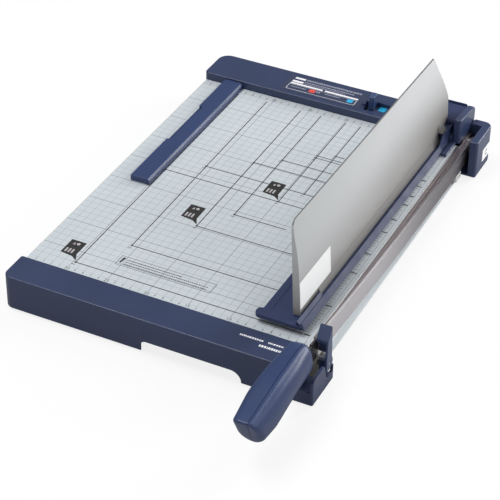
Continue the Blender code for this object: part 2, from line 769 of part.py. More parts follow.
def handle_loft(name):
    """The whole grip as one solid, with both ends rounded and the front face leaning back."""
    root, front = HANDLE_STATIONS[0][0], HANDLE_STATIONS[-1][0]
    radius = 9
    rounding = []
    for angle in (0, 30, 60, 90):
        swing = math.radians(angle)
        rounding.append((radius * (1 - math.sin(swing)), radius * (1 - math.cos(swing))))
    rings = []
    for inset, depth in rounding:
        y = root - depth
        rings.append([(x, y, z) for x, z in handle_ring(handle_size(y), inset)])
    for y in (-493, -507, -522, -537, -550, -563):
        rings.append([(x, y, z) for x, z in handle_ring(handle_size(y), 0)])
    outer = handle_ring(handle_size(front), 0)
    inner = handle_ring(handle_size(front), radius)
    for inset, depth in reversed(rounding):
        ring = []
        for (x, z), (inner_x, inner_z) in zip(outer, inner):
            crispness = 1 - 0.6 * max(0, (z - 3) / 20) ** 2  # the top rim is tighter than the rest
            share = inset / radius * crispness
            height = z + (inner_z - z) * share
            lean = HANDLE_SLOPE * (20 - height)
            ring.append((x + (inner_x - x) * share, front + lean + depth * crispness, height))
        rings.append(ring)
    return loft(name, [[(x * MM, y * MM, z * MM) for x, y, z in ring] for ring in rings])


def build_handle(paints, axis):
    """Two moulded halves that close over the arm's tang and are screwed together."""
    for name, keep_x in (
        ("handle_inner", (-40 * MM, HANDLE_SPLIT - GAP / 2)),
        ("handle_outer", (HANDLE_SPLIT + GAP / 2, 40 * MM)),
    ):
        half = handle_loft(name)
        half.data.materials.append(paints["grip"])
        place_under(half, axis)
        keep = block(f"{name}_keep", keep_x, (-640 * MM, -440 * MM), (-60 * MM, 60 * MM))
        use_tool(half, keep, "INTERSECT")
        pocket_x = (BAR[0] - GAP, BAR[1] + GAP)
        pocket_y = (TANG_FRONT - 1 * MM, -440 * MM)
        cut(half, block(f"{name}_pocket", pocket_x, pocket_y, (-2.4 * MM, 14.4 * MM)))
        for index, y in enumerate(HANDLE_SCREWS_Y):
            place = (y, HANDLE_SCREW_Z)
            bore = rod(f"{name}_bore_{index}", "X", place, 2.1 * MM, -30 * MM, 13 * MM, steps=12)
            cut(half, bore)
            if name == "handle_inner":
                sink = rod(f"{name}_sink_{index}", "X", place, 4 * MM, -30 * MM, -7.7 * MM)
                cut(half, sink)
    for index, y in enumerate(HANDLE_SCREWS_Y):
        screw = [
            (0, -11 * MM),
            (3.5 * MM, -11 * MM),
            (3.5 * MM, -8 * MM),
            (1.8 * MM, -8 * MM),
            (1.8 * MM, 12 * MM),
            (0, 12 * MM),
        ]
        name = f"handle_screw_{index + 1}"
        place = (y, HANDLE_SCREW_Z)
        turned(name, screw, "X", place, paints["screw_steel"], axis, steps=12)


# ---------------------------------------------------------------- clamp and guard


def build_clamp(paints):
    """The clamp presses paper beside the blade. It hangs on a pin at the rear and a spring lifts it."""
    pivot = (CLAMP_PIVOT_Y, CLAMP_PIVOT_Z)
    axis = axis_empty("clamp_axis", (0, *pivot))
    plan = rounded(
        [
            (-75 * MM, CLAMP_FRONT, 5 * MM),
            (-20 * MM, CLAMP_FRONT, 0),
            (-20 * MM, -3 * MM, 0),
            (PLATE_LEFT, -3 * MM, 0),
            (PLATE_LEFT, -411 * MM, 1 * MM),
            (-75 * MM, -411 * MM, 3 * MM),
        ]
    )
    clamp = prism("clamp_bar", plan, "Z", *PLATE, paints["blue"], axis)
    foot = (-21 * MM, PLATE[0])
    lip = (CLAMP_EDGE, PLATE[0])
    low_flange = [foot, lip, (-20.6 * MM, 6.6 * MM), (-21.6 * MM, 6.6 * MM), (-21.6 * MM, 2 * MM)]
    high_flange = [foot, lip, (-25.2 * MM, 9.4 * MM), (-26.2 * MM, 9.4 * MM), (-26.2 * MM, 2 * MM)]
    flange_front = CLAMP_FRONT + 1.5 * MM
    join(clamp, prism("clamp_flange", low_flange, "Y", flange_front + 1 * MM, -12 * MM))
    join(clamp, prism("clamp_press_tab", high_flange, "Y", flange_front, -364 * MM))
    riser_y = (-6 * MM, -1.2 * MM)
    riser_z = (PLATE[0], 13 * MM)
    join(clamp, block("clamp_riser", (-60 * MM, -20.2 * MM), riser_y, riser_z))
    bridge_z = (11.2 * MM, 15.5 * MM)
    join(clamp, block("clamp_bridge", (-60.3 * MM, -20.4 * MM), (-6.5 * MM, 22 * MM), bridge_z))

    rear_body_y = (17.5 * MM, REAR_FACE - 3.6 * MM)
    rear_body_side = rounded(
        [
            (rear_body_y[0], 11.2 * MM, 0),
            (rear_body_y[1], 11.2 * MM, 0),
            (rear_body_y[1], 26.8 * MM, 1 * MM),
            (rear_body_y[0], 21.6 * MM, 3 * MM),
        ]
    )
    join(clamp, prism("clamp_rear_body", rear_body_side, "X", -61 * MM, -14.4 * MM))
    join(clamp, loft("clamp_sail", sail_rings()))
    guard_seat_y = (16 * MM, GUARD_REAR + GAP)
    cut(clamp, block("guard_seat", (-38 * MM, -28.4 * MM), guard_seat_y, (15.9 * MM, 30 * MM)))
    spring_bay_x = (-40 * MM, -24 * MM)
    spring_bay_y = (CLAMP_PIVOT_Y - 3.9 * MM, CLAMP_PIVOT_Y + 3.9 * MM)
    cut(clamp, block("clamp_spring_bay", spring_bay_x, spring_bay_y, (5 * MM, 22 * MM)))
    pin_bore = rod("clamp_pin_bore", "X", pivot, 2.8 * MM, -50 * MM, -10 * MM)
    cut(clamp, pin_bore)
    pad_x = (-60 * MM, -40 * MM)
    pad_y = (-415 * MM, -14 * MM)
    groove_top = PLATE[0] + 1.0 * MM
    cut(clamp, block("clamp_pad_groove", pad_x, pad_y, (-1 * MM, groove_top)))
    tight = 0.2 * MM
    pad_x = (pad_x[0] + tight, pad_x[1] - tight)
    pad_y = (pad_y[0] + tight, pad_y[1] - tight)
    block("clamp_pad", pad_x, pad_y, (0.1 * MM, groove_top - tight), paints["rubber"], axis)

    rod("clamp_pivot_pin", "X", pivot, 2.5 * MM, -49.5 * MM, -12.4 * MM, paints["screw_steel"])
    spring_radius = 3.3 * MM
    wire = 0.4 * MM
    coil_x = (-38.5 * MM, -25.5 * MM)
    coil("clamp_spring", "X", pivot, spring_radius, wire, *coil_x, 5, paints["spring_steel"])
    build_guard(paints, axis)
    axis.rotation_euler = (-CLAMP_LIFT, 0, 0)


def sail_rings():
    """The thin wing that climbs from the flange's rear end to the body over the pivot pin."""
    stations = [
        # y, bottom, right foot, top, right end of the top
        (-30, 3, -17.5, 6.4, -20.7),
        (-22.5, 3, -16.9, 9.6, -20.1),
        (-18, 3, -16.3, 15.2, -19.7),
        (-14, 3, -16, 16.9, -19.5),
        (-4, 3, -15.8, 17.5, -19.5),
        (-3.5, 11.3, -17.4, 17.6, -19.5),
        (18.5, 11.3, -17.4, 17.6, -19.5),
    ]
    rings = []
    for y, bottom, right, top, top_right in stations:
        section = [(-21.2, bottom), (right, bottom), (top_right, top), (-21.2, top)]
        rings.append([(x * MM, y * MM, z * MM) for x, z in section])
    return rings


def guard_side(z):
    """How far right the guard's right face reaches at a height, low on its leaning foot."""
    return -28.3 * MM - (z - GUARD_FOOT) * 3.4 / 52.2


def build_guard(paints, axis):
    """A tall plate between the fingers and the blade. It leans left and thins towards its top."""
    section = [
        (-36.8 * MM, GUARD_FOOT),
        (guard_side(GUARD_FOOT), GUARD_FOOT),
        (guard_side(57 * MM), 57 * MM),
        (-34.7 * MM, 81 * MM),
        (-38.6 * MM, 102 * MM),
        (-40.7 * MM, 111 * MM),
        (-41.6 * MM, GUARD_HEIGHT),
        (-43.2 * MM, GUARD_HEIGHT),
    ]
    guard = prism("blade_guard", section, "Y", GUARD_FRONT, GUARD_REAR, paints["guard"], axis)
    foot_wedge = [
        (-30 * MM, GUARD_FOOT),
        (-24.8 * MM, GUARD_FOOT),
        (-28.6 * MM, 12.6 * MM),
        (-30 * MM, 12.6 * MM),
    ]
    join(guard, prism("guard_foot_wedge", foot_wedge, "Y", -362 * MM, -8 * MM))
    rear_wedge = [
        (-30 * MM, 16 * MM),
        (-21.8 * MM, 16 * MM),
        (-29.4 * MM, 25 * MM),
        (-30 * MM, 25 * MM),
    ]
    join(guard, prism("guard_rear_wedge", rear_wedge, "Y", -9 * MM, 3 * MM))
    inset = 0.2 * MM
    low = GUARD_FOOT - 1 * MM
    side = rounded(
        [
            (GUARD_FRONT - 1 * MM, low, 0),
            (-7.5 * MM, low, 0),
            (-7.5 * MM, 16.2 * MM, 0),
            (GUARD_REAR - inset, 16.2 * MM, 0),
            (GUARD_REAR - inset, 50 * MM, 8 * MM),
            (-11.4 * MM, 117 * MM, 2 * MM),
            (GUARD_FRONT + inset, GUARD_HEIGHT - inset, 9 * MM),
            (GUARD_FRONT + inset, 40 * MM, 0),
            (GUARD_FRONT - 1 * MM, 40 * MM, 0),
        ]
    )
    outline = prism("guard_outline", side, "X", -50 * MM, -20 * MM)
    use_tool(guard, outline, "INTERSECT")
    label_low, label_high = 12.9 * MM, 46.5 * MM
    near, far = 0.06 * MM, 0.26 * MM
    label = [
        (guard_side(label_low) + near, label_low),
        (guard_side(label_low) + far, label_low),
        (guard_side(label_high) + far, label_high),
        (guard_side(label_high) + near, label_high),
    ]
    prism("guard_label", label, "Y", -407.5 * MM, -329 * MM, paints["white"], axis)


# ---------------------------------------------------------------- guide, lock and small parts


def build_guide(paints):
    """The paper guide slides along the paper stop. Its magnet strip holds it on the steel table."""
    axis = axis_empty("guide_axis", ((GUIDE_LEFT + GUIDE_RIGHT) / 2, 0, 0))
    section = [
        (GUIDE_LEFT, 0.4 * MM),
        (GUIDE_RIGHT + 0.6 * MM, 0.4 * MM),
        (GUIDE_RIGHT, GUIDE_TOP - 1.2 * MM),
        (GUIDE_RIGHT - 1.2 * MM, GUIDE_TOP),
        (GUIDE_LEFT + 0.6 * MM, GUIDE_TOP),
        (GUIDE_LEFT, GUIDE_TOP - 0.6 * MM),
    ]
    guide = prism("paper_guide", section, "Y", GUIDE_FRONT, -GAP, paints["blue"], axis)
    scoop_x = (GUIDE_LEFT - 1 * MM, GUIDE_LEFT + 6 * MM)
    scoop_y = (-160 * MM, -73 * MM)
    cut(guide, block("guide_scoop", scoop_x, scoop_y, (4.5 * MM, 9 * MM)))
    magnet_x = (GUIDE_LEFT + 9 * MM, GUIDE_RIGHT - 5 * MM)
    magnet_y = (-235 * MM, -30 * MM)
    cut(guide, block("magnet_groove", magnet_x, magnet_y, (0, 2.6 * MM)))
    magnet_x = (magnet_x[0] + GAP, magnet_x[1] - GAP)
    magnet_y = (magnet_y[0] + GAP, magnet_y[1] - GAP)
    block("guide_magnet", magnet_x, magnet_y, (0.5 * MM, 2.3 * MM), paints["rubber"], axis)


def build_arm_lock(paints):
    """A hollow lever beside the arm's front end. It tips rearwards on a pin that runs along X."""
    axis = axis_empty("lock_axis", (0, *LOCK_PIVOT))
    left, right = LOCK_X
    hub_radius = 8.3 * MM
    hub = arc(LOCK_PIVOT, hub_radius, -75, 45, 8)
    side = [
        (-431.8 * MM, 32 * MM),
        (-441.8 * MM, 18 * MM),
        (-443 * MM, -10 * MM),
        (-442.6 * MM, -24 * MM),
        *hub,
        (-430 * MM, -6 * MM),
    ]
    lock = prism("arm_lock", side, "X", left, right, paints["blue"], axis)
    round_edges(lock, 0.7 * MM)
    hollow = [
        (-450 * MM, -12 * MM),
        (-433.2 * MM, -12 * MM),
        (-433.2 * MM, 26.6 * MM),
        (-450 * MM, 3 * MM),
    ]
    side_wall = 2.3 * MM
    cut(lock, prism("arm_lock_hollow", hollow, "X", left - 1 * MM, right - side_wall))
    hub_left = 16.2 * MM
    below = block("arm_lock_below", (left - 1 * MM, hub_left), (-450 * MM, -420 * MM), (-30 * MM, -4 * MM))
    cut(lock, below)
    cut(lock, rod("arm_lock_bore", "X", LOCK_PIVOT, 2.2 * MM, hub_left - 1 * MM, right + 1 * MM, steps=16))
    steel = paints["screw_steel"]
    rod("arm_lock_pin", "X", LOCK_PIVOT, 1.9 * MM, 5.6 * MM, 19 * MM, steel, steps=16)
    coil_x = (5.9 * MM, 9 * MM)
    coil("arm_lock_spring", "X", LOCK_PIVOT, 4.6 * MM, 0.5 * MM, *coil_x, 2, paints["spring_steel"])


def build_small_parts(paints):
    """The sliding selector in the rear casing's pocket, its coloured marker and the plain labels."""
    axis = axis_empty("selector_axis", (-129.5 * MM, 26 * MM, 5 * MM))
    knob_plan = rounded(
        [
            (-133 * MM, 19 * MM, 1.5 * MM),
            (-126 * MM, 19 * MM, 1.5 * MM),
            (-126 * MM, 32.5 * MM, 1.5 * MM),
            (-133 * MM, 32.5 * MM, 1.5 * MM),
        ],
        2,
    )
    knob = prism("selector_knob", knob_plan, "Z", 5.3 * MM, 23.8 * MM, paints["blue"], axis)
    round_edges(knob, 1.0 * MM)
    marker_z = (5.05 * MM, 5.2 * MM)
    block("selector_marker", (-121 * MM, -112 * MM), (22 * MM, 32 * MM), marker_z, paints["cyan"])
    label_z = (REAR_TOP + 0.05 * MM, REAR_TOP + 0.2 * MM)
    block("rear_label", (-250 * MM, -142 * MM), (8 * MM, 45 * MM), label_z, paints["navy"])
    sticker_x = (RIGHT_FACE + 0.05 * MM, RIGHT_FACE + 0.2 * MM)
    block("side_label", sticker_x, (21 * MM, 47 * MM), (-28.5 * MM, -11.5 * MM), paints["white"])


# ---------------------------------------------------------------- assembly


def make_paints():
    return {
        "navy": paint("navy_plastic", NAVY, 0.42),
        "blue": paint("blue_plastic", BLUE, 0.38),
        "grip": paint("grip_plastic", BLUE, 0.33),
        "sheet": paint("ruled_sheet", (0.58, 0.64, 0.65), 0.5),
        "pale_steel": paint("painted_steel", (0.70, 0.75, 0.78), 0.45, 0.2),
        "bright_metal": paint("bright_aluminium", (0.85, 0.86, 0.87), 0.3, 1.0),
        "blade_steel": paint("blade_steel", (0.30, 0.28, 0.27), 0.35, 1.0),
        "arm_steel": paint("arm_steel", (0.52, 0.52, 0.56), 0.35, 0.9),
        "screw_steel": paint("zinc_steel", (0.60, 0.60, 0.60), 0.35, 1.0),
        "spring_steel": paint("spring_steel", (0.35, 0.35, 0.36), 0.3, 1.0),
        "brass": paint("bush_brass", (0.75, 0.58, 0.28), 0.35, 1.0),
        "nylon": paint("pale_nylon", (0.78, 0.78, 0.74), 0.5),
        "rubber": paint("black_rubber", (0.03, 0.03, 0.03), 0.8),
        "guard": paint("smoke_grey_guard", (0.45, 0.45, 0.45), 0.3),
        "white": paint("white_label", (0.85, 0.85, 0.84), 0.5),
        "cyan": paint("cyan_marker", (0.02, 0.35, 0.65), 0.4),
    }


def is_piece(thing):
    return thing.type == "MESH" and not thing.hide_render


def stand_on_origin():
    """Moves everything so that the feet rest on Z = 0 and the outside box is centred over the origin."""
    bpy.context.view_layer.update()
    graph = bpy.context.evaluated_depsgraph_get()
    corners = []
    for thing in filter(is_piece, bpy.data.objects):
        evaluated = thing.evaluated_get(graph)
        corners += [evaluated.matrix_world @ vertex.co for vertex in evaluated.data.vertices]
    low = Vector([min(corner[i] for corner in corners) for i in range(3)])
    high = Vector([max(corner[i] for corner in corners) for i in range(3)])
    shift = -Vector(((low.x + high.x) / 2, (low.y + high.y) / 2, low.z))
    for thing in bpy.data.objects:
        if thing.parent is None:
            thing.location += shift
    print("zero corner of the table at", [round(value, 6) for value in shift])


def build_cutter():
    clear_scene()
    paints = make_paints()
    build_table(paints)
    build_front_casing(paints)
    build_rear_casing(paints)
    build_casing_screws(paints)
    build_feet(paints)
    build_pivot(paints)
    build_arm(paints)
    build_clamp(paints)
    build_guide(paints)
    build_arm_lock(paints)
    build_small_parts(paints)
    stand_on_origin()


build_cutter()
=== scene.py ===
"""The looks of a lever-arm paper cutter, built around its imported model.

Every new piece is drawn in millimetres from the corner where paper is squared up: X = 0 is the
cutting line, Y = 0 the paper stop and Z = 0 the top of the table. The frame says where that corner
is. The clamp and its guard are drawn pressed flat, and then raised about their pivot.
"""

import json
import math
import random

import bmesh
import bpy
from mathutils import Matrix, Vector


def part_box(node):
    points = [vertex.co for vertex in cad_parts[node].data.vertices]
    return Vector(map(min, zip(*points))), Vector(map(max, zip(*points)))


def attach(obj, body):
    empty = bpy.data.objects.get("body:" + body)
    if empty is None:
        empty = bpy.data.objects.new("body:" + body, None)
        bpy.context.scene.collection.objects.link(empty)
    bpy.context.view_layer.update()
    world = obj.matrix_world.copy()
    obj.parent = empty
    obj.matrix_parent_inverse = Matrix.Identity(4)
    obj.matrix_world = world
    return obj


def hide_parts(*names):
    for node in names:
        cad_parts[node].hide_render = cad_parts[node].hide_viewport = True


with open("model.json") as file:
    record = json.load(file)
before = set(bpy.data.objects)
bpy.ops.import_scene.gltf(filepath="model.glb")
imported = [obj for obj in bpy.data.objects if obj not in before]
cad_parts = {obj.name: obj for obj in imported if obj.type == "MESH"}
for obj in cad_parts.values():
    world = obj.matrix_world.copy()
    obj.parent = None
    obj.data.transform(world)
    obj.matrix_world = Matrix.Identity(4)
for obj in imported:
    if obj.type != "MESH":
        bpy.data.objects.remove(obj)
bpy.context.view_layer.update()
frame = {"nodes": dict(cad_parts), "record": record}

MM = 0.001
SHEET_HIGH_CORNER = Vector((-6.8, -0.3, 0.0))  # the ruled sheet's far right top corner
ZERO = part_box("ruled_sheet")[1] - SHEET_HIGH_CORNER * MM
ARM_PIVOT = (26, -14)  # the pivot bolt's centre, as (y, z)
CLAMP_LIFT = math.radians(0.87)
PRINT_LIFT = 0.02  # printed lines are thin films that lie this far above their surface
PRINT_FILM = 0.04
LAYER_STEP = 0.05  # a film that crosses other films lies this much higher
SHARP_ANGLE = math.radians(32)  # edges sharper than this are shaded as edges


class Span:
    """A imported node's outside box, in millimetres from the paper corner."""

    def __init__(self, node):
        low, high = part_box(node)
        self.x, self.y, self.z = zip((low - ZERO) / MM, (high - ZERO) / MM)
        self.left, self.right = self.x
        self.front, self.rear = self.y
        self.bottom, self.top = self.z


def middle_of(node):
    """The centre of a pin or bolt that lies along X, as (y, z)."""
    span = Span(node)
    return ((span.front + span.rear) / 2, (span.bottom + span.top) / 2)


def film_on(surface):
    """The low and high side of a printed film that lies on a surface."""
    return (surface + PRINT_LIFT, surface + PRINT_LIFT + PRINT_FILM)


# --- mesh helpers


def to_object(name, shape):
    bmesh.ops.remove_doubles(shape, verts=shape.verts, dist=1e-5)
    bmesh.ops.recalc_face_normals(shape, faces=shape.faces)
    mesh = bpy.data.meshes.new(name)
    shape.to_mesh(mesh)
    shape.free()
    thing = bpy.data.objects.new(name, mesh)
    bpy.context.scene.collection.objects.link(thing)
    return thing


def arc(centre, radius, start, end, steps):
    angles = [math.radians(start + (end - start) * i / steps) for i in range(steps + 1)]
    return [(centre[0] + radius * math.cos(a), centre[1] + radius * math.sin(a)) for a in angles]


def rounded(corners, steps=8):
    """An outline from (x, y, radius) corners, with an arc wherever the radius isn't zero."""
    points = []
    for index, (x, y, radius) in enumerate(corners):
        if radius == 0:
            points.append((x, y))
            continue
        here = Vector((x, y))
        to_last = (Vector(corners[index - 1][:2]) - here).normalized()
        to_next = (Vector(corners[(index + 1) % len(corners)][:2]) - here).normalized()
        half = to_last.angle(to_next) / 2
        centre = here + (to_last + to_next).normalized() * radius / math.sin(half)
        start = here + to_last * radius / math.tan(half) - centre
        end = here + to_next * radius / math.tan(half) - centre
        sweep = start.angle_signed(end)
        for step in range(steps + 1):
            spoke = start.copy()
            spoke.rotate(Matrix.Rotation(-sweep * step / steps, 2))
            points.append(tuple(centre + spoke))
    return points


def rectangle(x, y):
    return [(x[0], y[0]), (x[1], y[0]), (x[1], y[1]), (x[0], y[1])]


def soft_rectangle(x, y, radius, steps):
    return rounded([(*corner, radius) for corner in rectangle(x, y)], steps)


def between(a, b, c, d, t):
    """A smooth curve from b to c that keeps the slopes set by a and d."""
    return b + 0.5 * t * (c - a + t * (2 * a - 5 * b + 4 * c - d + t * (3 * (b - c) + d - a)))


def curve_point(row, i, share):
    """The point a share of the way from entry i to entry i + 1, on a smooth curve through a row."""
    four = [row[max(0, min(len(row) - 1, i + k))] for k in (-1, 0, 1, 2)]
    return [between(*values, share) for values in zip(*four)]


def on_axis(axis, pair, along):
    a, b = pair
    return {"X": (along, a, b), "Y": (a, along, b), "Z": (a, b, along)}[axis]


def add_prism(shape, outline, axis, low, high):
    bottom = [shape.verts.new(on_axis(axis, point, low)) for point in outline]
    top = [shape.verts.new(on_axis(axis, point, high)) for point in outline]
    shape.faces.new(bottom)
    shape.faces.new(top)
    for i in range(len(outline)):
        j = (i + 1) % len(outline)
        shape.faces.new((bottom[i], bottom[j], top[j], top[i]))


def add_box(shape, x, y, z):
    add_prism(shape, rectangle(x, y), "Z", *z)


def prism(name, outline, axis, low, high):
    shape = bmesh.new()
    add_prism(shape, outline, axis, low, high)
    return to_object(name, shape)


def block(name, x, y, z):
    shape = bmesh.new()
    add_box(shape, x, y, z)
    return to_object(name, shape)


def loft(name, rings):
    """A solid through a row of rings that all have the same number of points."""
    shape = bmesh.new()
    rows = [[shape.verts.new(point) for point in ring] for ring in rings]
    for this, following in zip(rows, rows[1:]):
        for i in range(len(this)):
            j = (i + 1) % len(this)
            shape.faces.new((this[i], this[j], following[j], following[i]))
    shape.faces.new(rows[0])
    shape.faces.new(rows[-1])
    return to_object(name, shape)


def rod(name, axis, centre, radius, low, high, sides=32):
    return prism(name, arc(centre, radius, 0, 360 - 360 / sides, sides - 1), axis, low, high)


def bake(thing):
    """Applies a piece's modifiers to its mesh."""
    bpy.context.view_layer.update()
    graph = bpy.context.evaluated_depsgraph_get()
    mesh = bpy.data.meshes.new_from_object(thing.evaluated_get(graph))
    old = thing.data
    thing.modifiers.clear()
    thing.data = mesh
    bpy.data.meshes.remove(old)


def combine(thing, operation, tools):
    for tool in tools:
        modifier = thing.modifiers.new(tool.name, "BOOLEAN")
        modifier.operation = operation
        modifier.object = tool
        modifier.solver = "EXACT"
    bake(thing)
    for tool in tools:
        bpy.data.objects.remove(tool, do_unlink=True)


def cut(thing, *tools):
    combine(thing, "DIFFERENCE", tools)


def join(thing, *tools):
    combine(thing, "UNION", tools)


def soften(thing, width, segments=3, angle=35, clamp=True, tidy=True):
    """Rounds every edge sharper than the angle. Tidying first merges the flat faces."""
    if tidy:
        shape = bmesh.new()
        shape.from_mesh(thing.data)
        bmesh.ops.remove_doubles(shape, verts=shape.verts, dist=0.002)
        bmesh.ops.dissolve_limit(
            shape, angle_limit=math.radians(0.6), verts=shape.verts, edges=shape.edges
        )
        shape.to_mesh(thing.data)
        shape.free()
    modifier = thing.modifiers.new("soft_edges", "BEVEL")
    modifier.width = width
    modifier.segments = segments
    modifier.limit_method = "ANGLE"
    modifier.angle_limit = math.radians(angle)
    modifier.use_clamp_overlap = clamp
    bake(thing)


def settle(thing, material, body, *nodes, slot=None, raised=False):
    """Moves a finished piece from millimetres to its place in the frame, and gives it its look."""
    placing = Matrix.Translation(ZERO) @ Matrix.Scale(MM, 4)
    if raised:
        placing = placing @ clamp_raise()
    thing.data.transform(placing)
    thing.data.materials.clear()
    thing.data.materials.append(material)
    thing.data.shade_smooth()
    thing.data.set_sharp_from_angle(angle=SHARP_ANGLE)
    weighted = thing.modifiers.new("even_shading", "WEIGHTED_NORMAL")
    weighted.keep_sharp = True
    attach(thing, body)
    if nodes:
        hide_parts(*nodes)


def clamp_raise():
    """How the clamp at rest is turned from its pressed-flat place."""
    pivot = Vector((0, *middle_of("clamp_pivot_pin")))
    return Matrix.Translation(pivot) @ Matrix.Rotation(-CLAMP_LIFT, 4, "X") @ Matrix.Translation(-pivot)


# --- materials


def srgb(red, green, blue):
    """A colour from 0 to 255 values, as the linear colour that a shader takes."""
    channels = [value / 255 for value in (red, green, blue)]
    linear = [c / 12.92 if c <= 0.04045 else ((c + 0.055) / 1.055) ** 2.4 for c in channels]
    return (*linear, 1)


class Look:
    """A Principled material and short ways to add nodes to it."""

    def __init__(self, name):
        self.material = bpy.data.materials.new(name)
        self.material.use_nodes = True
        self.nodes = self.material.node_tree.nodes
        self.links = self.material.node_tree.links
        self.shader = self.nodes["Principled BSDF"]
        self.place = self.nodes.new("ShaderNodeTexCoord").outputs["Object"]

    def set(self, **inputs):
        for name, value in inputs.items():
            self.shader.inputs[name.replace("_", " ")].default_value = value

    def feed(self, value, socket):
        """Connects a node's output, or sets a plain number or colour."""
        if isinstance(value, bpy.types.NodeSocket):
            self.links.new(value, socket)
        else:
            socket.default_value = value

    def noise(self, scale, detail=3.0, roughness=0.5, stretch=(1, 1, 1)):
        mapping = self.nodes.new("ShaderNodeMapping")
        mapping.inputs["Scale"].default_value = stretch
        self.links.new(self.place, mapping.inputs["Vector"])
        texture = self.nodes.new("ShaderNodeTexNoise")
        texture.inputs["Scale"].default_value = scale
        texture.inputs["Detail"].default_value = detail
        texture.inputs["Roughness"].default_value = roughness
        self.links.new(mapping.outputs["Vector"], texture.inputs["Vector"])
        return texture.outputs["Fac"]

    def math(self, operation, first, second):
        node = self.nodes.new("ShaderNodeMath")
        node.operation = operation
        for value, socket in zip((first, second), node.inputs):
            self.feed(value, socket)
        return node.outputs[0]

    def map(self, value, low, high, to_low, to_high, smooth=False):
        node = self.nodes.new("ShaderNodeMapRange")
        node.interpolation_type = "SMOOTHSTEP" if smooth else "LINEAR"
        for item, socket in zip((value, low, high, to_low, to_high), node.inputs):
            self.feed(item, socket)
        return node.outputs[0]

    def spread(self, texture, low, high):
        """Maps a noise texture, which seldom leaves 0.3 to 0.7, onto a wanted range."""
        return self.map(texture, 0.3, 0.7, low, high)

    def mix(self, share, first, second):
        node = self.nodes.new("ShaderNodeMix")
        node.data_type = "RGBA"
        self.feed(share, node.inputs["Factor"])
        self.feed(first, node.inputs["A"])
        self.feed(second, node.inputs["B"])
        return node.outputs["Result"]

    def split(self, vector):
        node = self.nodes.new("ShaderNodeSeparateXYZ")
        self.links.new(vector, node.inputs[0])
        return node.outputs

    def millimetres(self, letter):
        """The place along an axis, in millimetres from the paper corner."""
        origin = ZERO["XYZ".index(letter)]
        return self.math("DIVIDE", self.math("SUBTRACT", self.split(self.place)[letter], origin), MM)

    def colour(self, value):
        self.feed(value, self.shader.inputs["Base Color"])

    def roughness(self, value):
        self.feed(value, self.shader.inputs["Roughness"])

    def bump(self, height, strength, distance):
        node = self.nodes.new("ShaderNodeBump")
        node.inputs["Strength"].default_value = strength
        node.inputs["Distance"].default_value = distance
        self.links.new(height, node.inputs["Height"])
        self.links.new(node.outputs["Normal"], self.shader.inputs["Normal"])


def shaded(colour, share):
    return tuple(min(1, c * share) for c in colour[:3]) + (1,)


def varied(look, colour, amount, scale):
    """A colour that drifts a little lighter and darker over the surface."""
    drift = look.map(look.noise(scale), 0.35, 0.65, 0, 1)
    return look.mix(drift, shaded(colour, 1 - amount), shaded(colour, 1 + amount))


def moulded_plastic(name, colour, roughness, grain=0.12):
    """Injection-moulded plastic: fine spark-eroded grain and slight mottling of colour and sheen."""
    look = Look(name)
    speckle = look.noise(3800, detail=1)
    base = varied(look, colour, 0.05, 16)
    look.colour(look.mix(look.map(speckle, 0.45, 0.75, 0, 0.035), base, srgb(120, 134, 176)))
    sheen = look.noise(22, detail=5)
    look.roughness(look.spread(sheen, roughness - 0.05, roughness + 0.05))
    look.bump(look.noise(1700, detail=2), grain, 0.00012)
    return look.material


def painted_steel(name, colour, roughness, darkened_front=None):
    """Powder coat with a faint orange peel. Painted shade can darken its front end beside the arm, where
    that corner lies in shadow.
    """
    look = Look(name)
    coat = varied(look, colour, 0.025, 9)
    # painted shade: towards its front end beside the arm the coat turns dark brown, as that corner lies in
    # shadow
    if darkened_front:
        darkening = look.map(look.millimetres("Y"), *darkened_front, 0, 0.93, smooth=True)
        beside_arm = look.map(look.millimetres("X"), -40, -20, 0, 1)
        coat = look.mix(look.math("MULTIPLY", darkening, beside_arm), coat, srgb(40, 34, 32))
    look.colour(coat)
    look.roughness(look.spread(look.noise(60), roughness - 0.04, roughness + 0.06))
    look.bump(look.noise(420, detail=2), 0.10, 0.0002)
    return look.material


def brushed_metal(name, colour, roughness, darkened_front=None, lighter_front=None):
    """Metal ground along the cut: long fine streaks, lighter towards its front and darker at its front end.
    """
    look = Look(name)
    streaks = look.noise(1, detail=4, roughness=0.65, stretch=(700, 5, 700))
    metal = look.mix(look.spread(streaks, 0, 1), shaded(colour, 0.90), shaded(colour, 1.08))
    # the steel turns lighter towards its front
    if lighter_front:
        lightening = look.map(look.millimetres("Y"), *lighter_front, 0, 0.85, smooth=True)
        metal = look.mix(lightening, metal, srgb(228, 225, 229))
    # the steel turns dark brown towards its front end
    if darkened_front:
        darkening = look.map(look.millimetres("Y"), *darkened_front, 0, 0.85, smooth=True)
        metal = look.mix(darkening, metal, srgb(44, 38, 36))
    look.colour(metal)
    look.roughness(look.spread(streaks, roughness - 0.08, roughness + 0.10))
    look.bump(streaks, 0.05, 0.0001)
    look.set(Metallic=1.0)
    return look.material


def turned_metal(name, colour, roughness):
    """Plated fasteners and springs, with a light tarnish in patches."""
    look = Look(name)
    patches = look.noise(260, detail=5, roughness=0.7)
    look.colour(look.mix(look.map(patches, 0.45, 0.75, 0, 0.8), colour, shaded(colour, 0.72)))
    look.roughness(look.spread(patches, roughness, roughness + 0.18))
    look.bump(look.noise(2600, detail=1), 0.06, 0.00008)
    look.set(Metallic=1.0)
    return look.material


def rubber(name, colour):
    look = Look(name)
    look.colour(varied(look, colour, 0.25, 120))
    look.roughness(look.spread(look.noise(300), 0.72, 0.92))
    look.bump(look.noise(1400, detail=3), 0.25, 0.0002)
    look.set(Specular_IOR_Level=0.3)
    return look.material


def paper_film(name, colour, roughness=0.55):
    """Printed or plain label film with a faint fibre."""
    look = Look(name)
    fibre = look.noise(900, detail=4, roughness=0.7, stretch=(1, 3, 1))
    look.colour(look.mix(look.spread(fibre, 0, 0.06), colour, srgb(140, 140, 140)))
    look.roughness(look.spread(fibre, roughness - 0.05, roughness + 0.08))
    look.bump(fibre, 0.05, 0.00005)
    return look.material


